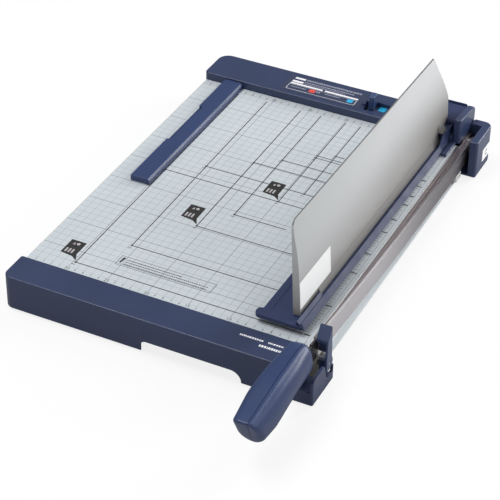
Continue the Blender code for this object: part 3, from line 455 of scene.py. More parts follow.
def grid_line(look, place, pitch, half_width):
    """1 on lines that repeat every pitch along a coordinate, and 0 between them."""
    blur = 0.12
    phase = look.math("PINGPONG", place, pitch / 2)
    return look.map(phase, half_width, half_width + blur, 1, 0)


def ruled_print():
    """The pale table with its 10 mm grid, a firmer line every 50 mm and none on the cutting strip."""
    look = Look("ruled_table_print")
    across = look.millimetres("X")
    along = look.millimetres("Y")
    fine = look.math("MAXIMUM", grid_line(look, across, 10, 0.17), grid_line(look, along, 10, 0.22))
    firm = look.math("MAXIMUM", grid_line(look, across, 50, 0.26), grid_line(look, along, 50, 0.34))
    left_of_strip = look.math("LESS_THAN", across, -19.5)
    behind_start = look.math("GREATER_THAN", along, -430)
    before_end = look.math("LESS_THAN", along, -4.5)
    on_grid = look.math("MULTIPLY", left_of_strip, look.math("MULTIPLY", behind_start, before_end))
    ground = varied(look, srgb(195, 202, 207), 0.02, 14)
    fine_ink = look.math("MULTIPLY", fine, look.math("MULTIPLY", on_grid, 0.62))
    firm_ink = look.math("MULTIPLY", firm, look.math("MULTIPLY", on_grid, 0.70))
    printed = look.mix(fine_ink, ground, srgb(124, 140, 143))
    look.colour(look.mix(firm_ink, printed, srgb(92, 104, 108)))
    wear = look.noise(35, detail=6, roughness=0.65)
    look.roughness(look.map(wear, 0.35, 0.7, 0.34, 0.50))
    look.bump(look.noise(1200, detail=2), 0.06, 0.00008)
    return look.material


def smoked_guard():
    """Grey guard sheet with painted reflection that makes it lighter towards its top and rear, painted shade
    along its foot, and painted shade on its faces that turn up or back.
    """
    look = Look("smoked_guard")
    height = look.millimetres("Z")
    along = look.millimetres("Y")
    # painted reflection: brownish grey low down, light grey high up and towards the rear, for the dark plate
    # below and the pale backdrop above
    tilted = look.math("ADD", height, look.math("MULTIPLY", along, -0.06))
    share = look.map(tilted, 12, 118, 0, 1, smooth=True)
    rearward = look.map(along, -420, 0, 0, 1)
    painted_reflection_top = look.mix(rearward, srgb(184, 187, 189), srgb(212, 214, 216))
    sheet = look.mix(share, srgb(146, 143, 140), painted_reflection_top)
    cloud = look.noise(5, detail=2)
    sheet = look.mix(look.map(cloud, 0.35, 0.65, 0, 0.10), sheet, srgb(150, 150, 150))
    # painted shade along the foot, where the sheet meets the clamp's flange
    above_foot = look.math("ADD", height, look.math("MULTIPLY", along, CLAMP_LIFT))
    sheet = look.mix(look.map(above_foot, 5, 16, 0.55, 0), sheet, srgb(100, 98, 98))
    # painted shade on the faces and rounded edges that turn up or back, a thin dark line along the top and
    # rear edges
    facing = look.split(look.nodes.new("ShaderNodeNewGeometry").outputs["Normal"])
    painted_shade_facing = look.math("MAXIMUM", facing["Y"], facing["Z"])
    look.colour(look.mix(look.map(painted_shade_facing, 0.3, 0.6, 0, 0.85), sheet, srgb(84, 84, 86)))
    look.roughness(look.spread(look.noise(18, detail=5), 0.36, 0.46))
    look.bump(look.noise(900, detail=2), 0.03, 0.00005)
    return look.material


def make_materials():
    return {
        "casing": moulded_plastic("navy_casing", srgb(43, 55, 87), 0.36),
        "cover": moulded_plastic("navy_cover", srgb(48, 60, 92), 0.34),
        "guide": moulded_plastic("blue_guide", srgb(41, 58, 99), 0.36),
        "knob": moulded_plastic("selector_blue", srgb(56, 74, 112), 0.34),
        "lock": moulded_plastic("lock_blue", srgb(58, 70, 104), 0.34),
        "grip": moulded_plastic("grip_blue", srgb(37, 55, 96), 0.36, grain=0.03),
        "clamp": painted_steel("clamp_coat", srgb(36, 49, 86), 0.52),
        "printed_sheet": ruled_print(),
        # the pale coat gets painted shade at its front end beside the arm
        "pale_steel": painted_steel("pale_coat", srgb(222, 228, 231), 0.40, darkened_front=(-388, -400)),
        "bright_metal": brushed_metal("bright_strip", srgb(236, 238, 240), 0.34),
        "arm_steel": brushed_metal(
            "arm_steel", srgb(140, 136, 140), 0.44, darkened_front=(-430, -440), lighter_front=(-40, -300)
        ),
        "blade_steel": brushed_metal("blade_steel", srgb(156, 146, 148), 0.40),
        "fastener_steel": turned_metal("zinc_plate", srgb(196, 196, 196), 0.30),
        "spring_steel": turned_metal("spring_wire", srgb(110, 110, 114), 0.30),
        "bush_brass": turned_metal("bush_brass", srgb(206, 172, 104), 0.32),
        "pale_nylon": moulded_plastic("pale_nylon", srgb(222, 224, 220), 0.45),
        "black_rubber": rubber("black_rubber", srgb(34, 34, 36)),
        "guard": smoked_guard(),
        "white": paper_film("white_film", srgb(250, 251, 251)),
        "panel": paper_film("navy_film", srgb(44, 54, 82), 0.40),
        "ink": paper_film("black_ink", srgb(22, 20, 22), 0.60),
        "soft_ink": paper_film("grey_ink", srgb(74, 82, 86), 0.60),
        "white_ink": paper_film("white_ink", srgb(236, 236, 242), 0.50),
        "cyan": moulded_plastic("cyan_marker", srgb(36, 166, 214), 0.35),
        "red": paper_film("red_ink", srgb(214, 70, 64)),
        "soft_white": paper_film("soft_white_ink", srgb(150, 152, 172)),
        "tag_ink": paper_film("tag_grey_ink", srgb(176, 172, 176)),
    }


# --- casings and pivot covers


def build_front_casing(look):
    casing = Span("front_casing")
    back = Span("ruled_sheet").front - 0.6
    lug_left, lug_back = 8.5, -427  # right of the arm, the casing reaches further back
    plan = [
        (casing.left, back, 2.5), (casing.left, casing.front, 11),
        (casing.right, casing.front, 2.2), (casing.right, lug_back, 0),
        (lug_left, lug_back, 0), (lug_left, back, 0),
    ]
    shell = prism("front_casing_shell", rounded(plan, 12), "Z", *casing.z)
    soften(shell, 1.5, 4)

    wall = 2.5
    inner_front = casing.front + wall
    inner_back = -420
    well_left, well_right = -9.5, 17.5
    mouth_left, mouth_floor = -24, -24
    beside_mouth = mouth_left - wall
    beside_well = well_left - wall
    behind_mouth = -457.5
    hollow = [
        (casing.left + wall, inner_back, 0), (casing.left + wall, inner_front, 8.5),
        (beside_mouth, inner_front, 0), (beside_mouth, behind_mouth, 0),
        (beside_well, behind_mouth, 0), (beside_well, inner_back, 0),
    ]
    below = casing.bottom - 1
    above = casing.top + 3
    mouth = [
        (mouth_left, above, 0), (mouth_left, mouth_floor, 4),
        (well_right, mouth_floor, 4), (well_right, above, 0),
    ]
    cheek = [
        (casing.front - 1, above, 0), (casing.front - 1, -14, 0),
        (casing.front, -14, 0), (casing.front, -6.5, 6), (-452, -6.5, 2),
        (-444.5, -28, 3), (-430, -28, 0), (-429, -21, 0), (inner_back, -21, 0),
        (inner_back, above, 0),
    ]
    grip = rounded([(-183, below, 0), (-183, -26.5, 7), (-62, -26.5, 13), (-62, below, 0)])
    cut(
        shell,
        prism("hollow", rounded(hollow), "Z", below, casing.top - wall),
        block("arm_well", (well_left, well_right), (inner_front, inner_back), (-38, above)),
        prism("handle_mouth", rounded(mouth), "Y", casing.front - 1, behind_mouth - wall),
        prism("cheek_top", rounded(cheek), "X", 15, casing.right + 1),
        prism("hand_grip", grip, "Y", casing.front - 1, inner_front + 1),
    )
    join(shell, block("lock_lug", (9.5, 15.7), (-441, -430), (-39, -9.5)))
    cut(shell, rod("pin_bore", "X", middle_of("arm_lock_pin"), 2.2, 8, 17, 24))
    soften(shell, 0.45, 2, angle=50)
    settle(shell, look["casing"], "cutter_base", "front_casing", slot="navy_plastic")

    marks = bmesh.new()
    add_word(marks, (-77, -50), -453.2, casing.top, 2.6, seed=3)
    add_word(marks, (-44, -26.6), -453.0, casing.top, 2.2, seed=4)
    add_word(marks, (-51, -25), -461.0, casing.top, 3.4, seed=5)
    settle_print("casing_marks", marks, look["white_ink"])


def settle_print(name, shape, ink):
    settle(to_object(name, shape), ink, "cutter_base")


def add_word(shape, x, y, z, height, seed):
    """A plain row of short bars that stands where print would be."""
    chance = random.Random(seed)
    place = x[0]
    while place < x[1] - 1:
        width = chance.uniform(1.0, 2.6)
        end = min(place + width, x[1])
        add_box(shape, (place, end), (y - height / 2, y + height / 2), film_on(z))
        place += width + chance.uniform(0.5, 0.9)


def build_rear_casing(look):
    casing = Span("rear_casing")
    rear = casing.rear
    raised_left, raised_front = -64, 17  # the part behind the clamp is raised
    top = 10
    wall = 2.5
    plan = [
        (casing.left, casing.front, 6), (casing.right, casing.front, 0),
        (casing.right, rear, 2), (casing.left, rear, 15),
    ]
    shell = prism("rear_casing_shell", rounded(plan, 12), "Z", casing.bottom, top)
    soften(shell, 1.4, 4)
    rim_rear = rear - 0.4
    rim_right = casing.right - 0.4
    raised_plan = [
        (raised_left, raised_front, 2), (rim_right, raised_front, 0),
        (rim_right, rim_rear, 2), (raised_left, rim_rear, 6),
    ]
    raised = prism("raised_rim", rounded(raised_plan), "Z", top / 2, casing.top)
    soften(raised, 1.0, 3)
    join(shell, raised)
    inner_x = (casing.left + wall, casing.right - wall)
    inner_front = 6.5
    below = casing.bottom - 1
    hollow = [
        (inner_x[0], inner_front, 0), (inner_x[1], inner_front, 0),
        (inner_x[1], rear - wall, 0), (inner_x[0], rear - wall, 12.5),
    ]
    bay_x = (raised_left + wall, casing.right + 1)
    bay_y = (raised_front - 2, rim_rear - wall)
    pocket_x = (-136, -100)
    pocket_y = (9, 33)
    floor = 5
    cut(
        shell,
        block("clamp_bay", bay_x, bay_y, (top - 0.6, casing.top + 5)),
        prism("hollow", rounded(hollow), "Z", below, top - wall),
        block("tongue_gate", inner_x, (-1, 7), (below, -1)),
    )
    tray_x, tray_y = [(low - 2, high + 2) for low, high in (pocket_x, pocket_y)]
    join(shell, block("pocket_tray", tray_x, tray_y, (floor - 2, top - 1)))
    cut(shell, prism("pocket", soft_rectangle(pocket_x, pocket_y, 1.5, 5), "Z", floor, top + 1))
    bump_plan = soft_rectangle((-140.6, -136.3), (18, 31), 1.2, 5)
    bump = prism("slide_end", bump_plan, "Z", top - 1, top + 3.5)
    soften(bump, 0.9, 3)
    join(shell, bump)
    soften(shell, 0.35, 2, angle=50)
    settle(shell, look["casing"], "cutter_base", "rear_casing", slot="navy_plastic")


def build_rear_panel(look):
    """The printed panel: white bars, a red and a cyan key and lines of plain dashes."""
    panel = Span("rear_label")
    film = block("printed_panel", panel.x, panel.y, panel.z)
    settle(film, look["panel"], "cutter_base", "rear_label", slot="navy_plastic")

    print_z = film_on(panel.top)
    frame_x = (-243.8, -150.4)
    white = bmesh.new()
    for x, y in (
        ((-242.5, -228.5), (38.8, 42.6)),
        ((-243.2, -228.5), (30.4, 34.6)),
        ((-243.5, -199), (25.6, 28.8)),
        ((-195.8, -150), (25.6, 28.8)),
    ):
        add_box(white, x, y, print_z)
    for y, width in ((12.4, 0.5), (24.3, 0.4)):
        add_box(white, frame_x, (y - width / 2, y + width / 2), print_z)
    for x in frame_x:
        add_box(white, (x - 0.3, x + 0.3), (13.0, 23.8), print_z)
    settle_print("panel_bars", white, look["white_ink"])

    dashes = bmesh.new()
    rows = (
        # left and right end, y, height, seed
        ((-226.5, -150), 41.0, 3.2, 11),
        ((-227, -159), 35.2, 2.2, 12),
        ((-227, -170), 31.6, 1.6, 13),
        ((-240, -219), 19.6, 1.8, 14),
        ((-205, -199), 20.2, 2.6, 15),
        ((-193, -171), 20.6, 1.8, 16),
    )
    for x, y, height, seed in rows:
        add_word(dashes, x, y, panel.top, height, seed)
    settle_print("panel_dashes", dashes, look["soft_white"])

    key_y = (15.8, 23.2)
    for colour, key_x in (("red", (-214.4, -206)), ("cyan", (-161.8, -154.2))):
        key = prism(f"panel_{colour}_key", soft_rectangle(key_x, key_y, 1.2, 4), "Z", *print_z)
        settle(key, look[colour], "cutter_base")


def build_pivot_covers(look):
    tower = Span("inner_pivot_cover")
    body_front = 2
    left = -13.7
    side = [
        (body_front, 0.3, 0), (14.3, 0.3, 0), (14.3, tower.bottom, 0),
        (tower.rear, tower.bottom, 0), (tower.rear, 28, 6),
        (body_front, tower.top, 2.5),
    ]
    inner = prism("tower_cover", rounded(side), "X", left, tower.right)
    soften(inner, 2.2, 5)
    toe_plan = [
        (tower.left, tower.front), (-8.4, tower.front), (-8.4, 4), (-13.4, 4),
        (-13.4, -0.1), (tower.left, -0.1),
    ]
    toe = prism("toe", toe_plan, "Z", 0.3, 4.2)
    soften(toe, 0.8, 3)
    join(inner, toe)
    cut(inner, block("cavity", (left + 1.6, tower.right - 1.6), (16.5, tower.rear - 2), (-42, 5)))
    cut(inner, rod("bolt_bore", "X", ARM_PIVOT, 5.4, -8, 0))
    settle(inner, look["cover"], "cutter_base", "inner_pivot_cover", slot="navy_plastic")

    cover = Span("outer_pivot_cover")
    plan = [
        (cover.left, cover.front, 0), (cover.right, cover.front, 3),
        (cover.right, cover.rear, 10), (cover.left, cover.rear, 3),
    ]
    outer = prism("pivot_cover", rounded(plan, 10), "Z", *cover.z)
    soften(outer, 2.2, 5)
    slot_right = 10.3
    cut(
        outer,
        block("arm_slot", (cover.left - 2, slot_right), (-2, 40.6), (-37, cover.top + 2)),
        block("cavity", (slot_right + 1.7, cover.right - 2), (2.5, cover.rear - 4), (-42, cover.top - 2.5)),
    )
    soften(outer, 0.6, 3, angle=50)
    settle(outer, look["cover"], "cutter_base", "outer_pivot_cover", slot="navy_plastic")

    sticker = Span("side_label")
    film = prism("side_sticker", soft_rectangle(sticker.y, sticker.z, 1.2, 4), "X", *sticker.x)
    settle(film, look["white"], "cutter_base", "side_label", slot="white_label")
    mark = bmesh.new()
    middle = middle_of("side_label")
    ring = arc(middle, 3.6, 20, 200, 14) + arc(middle, 2.2, 200, 20, 14)
    bar = rectangle((middle[0] - 2.6, middle[0] + 2.6), (middle[1] - 4.2, middle[1] - 2.6))
    for outline in (ring, bar):
        add_prism(mark, outline, "X", *film_on(sticker.right))
    settle_print("sticker_mark", mark, look["soft_ink"])


# --- blade arm, handle and arm lock


def arm_outline(front, rear, depth):
    """Side view of a long piece of the arm: straight at the rear, with a slow upward curve."""
    start = -50
    top = -1
    sweep = 4670  # the radius of the curve
    centre = (start, top + sweep)

    def curve(radius, first, last):
        low = math.degrees(math.asin((first - start) / radius)) - 90
        high = math.degrees(math.asin((last - start) / radius)) - 90
        return arc(centre, radius, low, high, 28)

    upper = curve(sweep, front, start)
    lower = curve(sweep + depth, start, front)
    return upper, [(rear, top), (rear, top - depth)], lower


def build_arm(look):
    bar = Span("arm_bar")
    blade = Span("moving_blade")
    depth = 26
    tang_rear = -452
    upper, _, lower = arm_outline(tang_rear, ARM_PIVOT[0], depth)
    rear_end = arc(ARM_PIVOT, depth / 2, 90, -90, 20)
    tang = [(tang_rear, -2), (bar.front, -2), (bar.front, 14), (tang_rear, 14)]
    steel = prism("blade_arm_bar", upper + rear_end + lower + tang, "X", *bar.x)
    cut(steel, rod("bush_bore", "X", ARM_PIVOT, 7.3, 0, 8))
    soften(steel, 0.35, 2, angle=40, clamp=False)
    settle(steel, look["arm_steel"], "blade_arm", "arm_bar", slot="arm_steel")

    upper, ends, lower = arm_outline(blade.front, blade.rear, depth - 1.5)
    edge = prism("cutting_blade", upper + ends + lower, "X", *blade.x)
    soften(edge, 0.3, 2, angle=40, clamp=False)
    settle(edge, look["blade_steel"], "blade_arm", "moving_blade", slot="blade_steel")


HANDLE_SPLIT = 3
HANDLE_SLOPE = 0.44  # how far the front face leans back, for each unit down
HANDLE_STATIONS = [
    # y, left, right, top, bottom
    (-466, -11, 15.5, 32, -10),
    (-480, -12.5, 16.5, 32.7, -10),
    (-493, -14.3, 17.3, 32.5, -9.2),
    (-507, -16.2, 18, 31.9, -8.5),
    (-521, -17.6, 18.2, 31.2, -10.6),
    (-537, -18.8, 18.2, 30.1, -13.8),
    (-550, -19.3, 18.2, 28.6, -16.4),
    (-563, -19.1, 18, 26.9, -17.8),
    (-575, -18.4, 17.6, 25.6, -18),
    (-587, -17.3, 16.9, 24.5, -17.5),
    (-599, -16, 16, 23.3, -17),
]


def handle_size(y):
    """Left, right, top and bottom of the grip at one place along it."""
    for i in range(len(HANDLE_STATIONS) - 1):
        rear, front = HANDLE_STATIONS[i][0], HANDLE_STATIONS[i + 1][0]
        if y >= front:
            return curve_point(HANDLE_STATIONS, i, (y - rear) / (front - rear))[1:]
    return HANDLE_STATIONS[-1][1:]


def handle_ring(size, inset):
    """One section in XZ: a flat top with a crisp left corner, and oval everywhere else."""
    left, right, top, bottom = size
    middle = (top + bottom) / 2
    corner_steps = 14
    points = []
    # side, end, and how square the corner between them is: 2 is an ellipse
    quarters = [(right, top, 2.1), (left, top, 5), (left, bottom, 2.2), (right, bottom, 2)]
    for index, (side, end, squareness) in enumerate(quarters):
        wide = abs(side - HANDLE_SPLIT) - inset
        high = abs(end - middle) - inset
        for step in range(corner_steps):
            angle = math.pi / 2 * (index + step / corner_steps)
            c, s = math.cos(angle), math.sin(angle)
            across = math.copysign(abs(c) ** (2 / squareness), c)
            up = math.copysign(abs(s) ** (2 / squareness), s)
            points.append((HANDLE_SPLIT + wide * across, middle + high * up))
    return points


def handle_loft(name):
    """The whole grip, with both ends rounded and the front face leaning back."""
    root, front = HANDLE_STATIONS[0][0], HANDLE_STATIONS[-1][0]
    radius = 9
    spacing = 4
    swings = [math.radians(angle) for angle in range(0, 100, 10)]
    rounding = [(radius * (1 - math.sin(a)), radius * (1 - math.cos(a))) for a in swings]

    def section(y, inset):
        return [(x, y, z) for x, z in handle_ring(handle_size(y), inset)]

    rings = [section(root - depth, inset) for inset, depth in rounding]
    rings += [section(root - radius - spacing * step, 0) for step in range(1, 22)]
    outer = handle_ring(handle_size(front), 0)
    inner = handle_ring(handle_size(front), radius)
    for inset, depth in reversed(rounding):
        ring = []
        for (x, z), (inner_x, inner_z) in zip(outer, inner):
            crispness = 1 - 0.6 * max(0, (z - 3) / 20) ** 2  # the top rim is tighter than the rest
            share = inset / radius * crispness
            height = z + (inner_z - z) * share
            lean = HANDLE_SLOPE * (20 - height)
            ring.append((x + (inner_x - x) * share, front + lean + depth * crispness, height))
        rings.append(ring)
    return loft(name, rings)


def build_handle(look):
    groove = 0.25
    for name, node, keep_x in (
        ("handle_left_half", "handle_inner", (-40, HANDLE_SPLIT - groove)),
        ("handle_right_half", "handle_outer", (HANDLE_SPLIT + groove, 40)),
    ):
        half = handle_loft(name)
        combine(half, "INTERSECT", [block("keep", keep_x, (-640, -440), (-60, 60))])
        tools = [block("tang_pocket", (2.1, 5.3), (-561, -440), (-2.4, 14.4))]
        for y in (-492, -545):
            screw = (y, 6)
            tools.append(rod("bore", "X", screw, 2.1, -30, 13, 20))
            if node == "handle_inner":
                tools.append(rod("sink", "X", screw, 4, -30, -7.7, 28))
        cut(half, *tools)
        settle(half, look["grip"], "blade_arm", node, slot="grip_plastic")
        half.data.set_sharp_from_angle(angle=math.radians(45))
        half.modifiers.clear()


def build_arm_lock(look):
    """A hollow lever: a sloping cap, a rear wall and a right wall that ends in a round hub."""
    lock = Span("arm_lock")
    pivot = middle_of("arm_lock_pin")
    side = [
        (-431.8, 32), (-441.8, 18), (-443, -10), (-442.6, -24),
        *arc(pivot, 8.3, -75, 45, 20),
        (-430, -6),
    ]
    lever = prism("arm_lock_lever", side, "X", *lock.x)
    soften(lever, 0.9, 4)
    hollow = rounded([(-450, -12, 0), (-433.2, -12, 0), (-433.2, 26.6, 1.5), (-450, 3, 0)], 6)
    hub_left = 16.2
    cut(
        lever,
        prism("hollow", hollow, "X", lock.left - 1, lock.right - 2.3),
        block("below", (lock.left - 1, hub_left), (-450, -420), (-30, -4)),
        rod("bore", "X", pivot, 2.2, hub_left - 1, lock.right + 1, 24),
    )
    ring = prism("hub_ring", arc(pivot, 3.6, 0, 350, 35), "X", hub_left + 0.5, lock.right - 0.05)
    cut(ring, rod("ring_bore", "X", pivot, 2.2, hub_left - 1, lock.right + 1, 24))
    join(lever, ring, block("rib", (9.5, 17.6), (-434.2, -432), (-2.6, -1.2)))
    soften(lever, 0.25, 2, angle=50)
    settle(lever, look["lock"], "lock", "arm_lock", slot="blue_plastic")


# --- clamp and guard


def build_clamp(look):
    """All in the pressed-flat place. The settling step raises it."""
    plate_low, plate_high = 0.4, 4.4
    front = -425
    plan = [
        (-75, front, 6), (-20, front, 0), (-20, -3, 0), (-69.5, -3, 0),
        (-69.5, -412, 2), (-75, -412, 4),
    ]
    plate = prism("clamp_plate", rounded(plan, 10), "Z", plate_low, plate_high)
    soften(plate, 1.3, 4)
    foot = (-21, plate_low)
    lip = (-15.5, plate_low)
    low_flange = [foot, lip, (-20.6, 6.6), (-21.6, 6.6), (-21.6, 2)]
    high_flange = [foot, lip, (-25.2, 9.4), (-26.2, 9.4), (-26.2, 2)]
    low_piece = prism("low_flange", low_flange, "Y", front + 3, -12)
    high_piece = prism("press_tab", high_flange, "Y", front + 1.5, -364)
    for piece in (low_piece, high_piece):
        soften(piece, 0.4, 3)
    hood_rear = 50.4
    hood_side = rounded([(17.5, 11.2, 0), (hood_rear, 11.2, 0), (hood_rear, 26.8, 1.4), (17.5, 21.6, 3)])
    hood = prism("hood", hood_side, "X", -61, -14.4)
    soften(hood, 0.8, 3)
    join(
        plate,
        low_piece,
        high_piece,
        block("riser", (-60, -20.2), (-6, -1.2), (plate_low, 13)),
        block("bridge", (-60.3, -20.4), (-6.5, 22), (11.2, 15.5)),
        hood,
        loft("sail", sail_rings()),
    )
    guard_bed = rounded([(-61, -417, 9), (-27.5, -417, 3), (-27.5, -20, 2), (-61, -20, 2)], 8)
    pivot = middle_of("clamp_pivot_pin")
    cut(
        plate,
        block("guard_seat", (-38, -28.4), (16, 24.8), (15.9, 30)),
        block("spring_bay", (-40, -24), (pivot[0] - 3.9, pivot[0] + 3.9), (5, 22)),
        rod("pin_bore", "X", pivot, 2.8, -50, -10),
        block("pad_groove", (-60, -40), (-415, -14), (-1, plate_low + 1)),
        prism("guard_bed", guard_bed, "Z", plate_high - 0.45, plate_high + 1),
    )
    soften(plate, 0.25, 2, angle=50)
    settle(plate, look["clamp"], "paper_clamp", "clamp_bar", slot="clamp_finish", raised=True)


def sail_rings():
    """The thin wing that climbs from the flange's rear end to the body over the pivot pin."""
    stations = [
        # y, bottom, right foot, top, right end of the top
        (-30, 3, -17.5, 6.4, -20.7),
        (-25, 3, -17.2, 7.4, -20.4),
        (-22.5, 3, -16.9, 9.6, -20.1),
        (-20.5, 3, -16.6, 12.6, -19.9),
        (-18, 3, -16.3, 15.2, -19.7),
        (-14, 3, -16, 16.9, -19.5),
        (-4, 3, -15.8, 17.5, -19.5),
        (-3.5, 11.3, -17.4, 17.6, -19.5),
        (18.5, 11.3, -17.4, 17.6, -19.5),
    ]
    return [
        [(-21.2, y, bottom), (right, y, bottom), (top_right, y, top), (-21.2, y, top)]
        for y, bottom, right, top, top_right in stations
    ]


GUARD_FOOT, GUARD_TOP = 4.8, 121.5


def guard_side(z):
    """The X of the guard's right face at a height, low on its leaning foot."""
    return -28.3 - (z - GUARD_FOOT) * 3.4 / 52.2


def guard_section():
    """Across the guard: it leans left all the way, and its right face bends in to a thin top."""
    right = [(guard_side(GUARD_FOOT), GUARD_FOOT), (guard_side(52), 52)]
    bend = [(guard_side(57), 57), (-34.7, 81), (-38.6, 102), (-41.6, GUARD_TOP)]
    steps = 4
    for i in range(len(bend) - 1):
        right += [curve_point(bend, i, step / steps) for step in range(steps)]
    left = [(-43.2, GUARD_TOP), (-36.8, GUARD_FOOT)]
    return [*right, bend[-1], *left]


def build_guard(look):
    front, rear = -408, 24.5
    sheet = prism("guard_sheet", guard_section(), "Y", front, rear)
    wedge = [(-30, GUARD_FOOT), (-24.8, GUARD_FOOT), (-28.6, 12.6), (-30, 12.6)]
    rear_wedge = [(-30, 16), (-21.8, 16), (-29.4, 25), (-30, 25)]
    join(sheet, prism("foot_wedge", wedge, "Y", -362, -8), prism("rear_wedge", rear_wedge, "Y", -9, 3))
    side = [
        (front - 1, 3, 0), (-7.5, 3, 0), (-7.5, 16.2, 0), (rear - 0.2, 16.2, 0),
        (rear - 0.2, 50, 8), (-11.4, 117, 3), (front + 0.2, GUARD_TOP - 0.2, 9),
        (front + 0.2, 40, 0), (front - 1, 40, 0),
    ]
    combine(sheet, "INTERSECT", [prism("outline", rounded(side, 12), "X", -50, -20)])
    soften(sheet, 0.5, 3, angle=40, tidy=False)
    settle(sheet, look["guard"], "paper_clamp", "blade_guard", slot="guard_grey", raised=True)
    low, high = 12.9, 46.5
    near, far = 0.06, 0.26
    label = [
        (guard_side(z) + gap, z) for gap, z in ((near, low), (far, low), (far, high), (near, high))
    ]
    film = prism("guard_sticker", label, "Y", -407.5, -329)
    settle(film, look["white"], "paper_clamp", "guard_label", slot="white_label", raised=True)


# --- paper guide and selector


def build_guide(look):
    guide = Span("paper_guide")
    left, right, front, top = guide.left, -298, guide.front, guide.top
    section = [
        (left, guide.bottom), (right + 0.6, guide.bottom), (right, top - 2.4),
        (right - 2.4, top), (left + 0.5, top), (left, top - 0.5),
    ]
    body = prism("paper_guide_bar", section, "Y", front, -0.3)
    soften(body, 0.7, 3, angle=25)
    edge, deep = left - 1, left + 6
    scoop = rounded([(edge, -160, 0), (deep, -157, 3), (deep, -75, 3), (edge, -73, 0)], 5)
    cut(
        body,
        prism("scoop", scoop, "Z", 4.2, top + 1),
        block("magnet_groove", (left + 9, right - 5), (-235, -30), (0, 2.6)),
    )
    soften(body, 0.35, 2, angle=50)
    settle(body, look["guide"], "guide", "paper_guide", slot="blue_plastic")


def build_selector(look):
    knob = Span("selector_knob")
    cap = prism("selector_cap", soft_rectangle(knob.x, knob.y, 1.2, 6), "Z", *knob.z)
    soften(cap, 0.8, 4)
    settle(cap, look["knob"], "selector", "selector_knob", slot="blue_plastic")
    marker = Span("selector_marker")
    patch = prism("selector_patch", soft_rectangle(marker.x, marker.y, 0.8, 4), "Z", *marker.z)
    settle(patch, look["cyan"], "cutter_base", "selector_marker", slot="cyan_marker")


# --- print on the table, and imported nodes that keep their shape


# The front left corners of the printed sizes: sheets upright, sheets on their side and two cards
UPRIGHT_CORNERS = [(-297, -420), (-257, -364), (-210, -297), (-182, -257), (-148, -210), (-128, -182)]
LYING_CORNERS = [(-297, -210), (-257, -182), (-210, -148), (-182, -128), (-148, -105)]
CARD_FRONT = -100
PAPER_CORNERS = [*UPRIGHT_CORNERS, *LYING_CORNERS, (-148, CARD_FRONT), (-128, -91)]
LINE = 1.15
ALONG_Z = film_on(0)
ACROSS_Z = film_on(LAYER_STEP)


def build_paper_outlines(look):
    shape = bmesh.new()
    columns = {}
    rows = {}
    for x, y in PAPER_CORNERS:
        columns[x] = min(y, columns.get(x, y))
        rows[y] = min(x, rows.get(y, x))
    for x, y in columns.items():
        add_box(shape, (x - LINE / 2, x + LINE / 2), (y, -14.5), ALONG_Z)
    for y, x in rows.items():
        end = -20 if y < -270 else -116  # only the front lines run on under the clamp
        add_box(shape, (x, end), (y - LINE / 2, y + LINE / 2), ACROSS_Z)
        if y != CARD_FRONT:
            add_box(shape, (-18.2, -10.6), (y - 0.8, y + 0.8), ACROSS_Z)
    settle_print("paper_outlines", shape, look["ink"])

    dots = bmesh.new()
    dot_z = film_on(ACROSS_Z[1])
    for x, y in PAPER_CORNERS:
        add_prism(dots, arc((x, y), 1.4, 0, 330, 11), "Z", *dot_z)
        add_box(dots, (x - 2.6, x + 1.4), (y - 4.6, y - 3.9), dot_z)
    settle_print("corner_dots", dots, look["ink"])


def build_tags(look):
    """Black speech-bubble tags that point at three of the corners, with plain marks inside."""
    base = bmesh.new()
    marks = bmesh.new()
    low = ACROSS_Z[1] + LAYER_STEP
    high = low + PRINT_FILM
    mark_z = film_on(high)
    for x, y in UPRIGHT_CORNERS[::2]:
        left, right = x - 25.5, x - 6.5
        bottom, top = y + 10, y + 36
        bubble = [
            (left, bottom), (right - 3, bottom - 2), (x - 1.5, y + 2.5),
            (right, bottom + 3), (right, top), (left, top),
        ]
        add_prism(base, bubble, "Z", low, high)
        head = (left + 11.5, top - 5.5)
        add_prism(marks, arc(head, 2.2, 0, 330, 11), "Z", *mark_z)
        add_prism(marks, [(left + 5, top - 8), (left + 8.2, top - 8), (left + 6.6, top - 3.6)], "Z", *mark_z)
        for index in range(3):
            bar = left + 3 + index * 4
            add_box(marks, (bar, bar + 2.2), (bottom + 2.4, bottom + 10), mark_z)
    settle_print("size_tags", base, look["ink"])
    settle_print("size_tag_marks", marks, look["tag_ink"])


def build_text_box(look):
    """The outlined note on the table, with plain dashes for its lines."""
    left, right, bottom, top = -257, -138.5, -402.8, -385.2
    width = 0.65
    shape = bmesh.new()
    add_box(shape, (left, right), (bottom, bottom + width), ALONG_Z)
    add_box(shape, (left, right), (top - width, top), ALONG_Z)
    add_box(shape, (left, left + width), (bottom + width, top - width), ALONG_Z)
    add_box(shape, (right - width, right), (bottom + width, top - width), ALONG_Z)
    for row, end, seed in ((-390.5, -180, 21), (-394.6, -145, 22), (-398.7, -145, 23)):
        add_word(shape, (-248, end), row, 0, 1.5, seed)
    settle_print("note_box", shape, look["soft_ink"])
    mark = bmesh.new()
    outline = [(-254.5, -397.5), (-252.6, -398.4), (-250.6, -388.0), (-253.6, -387.6)]
    add_prism(mark, outline, "Z", *ALONG_Z)
    settle_print("note_mark", mark, look["ink"])


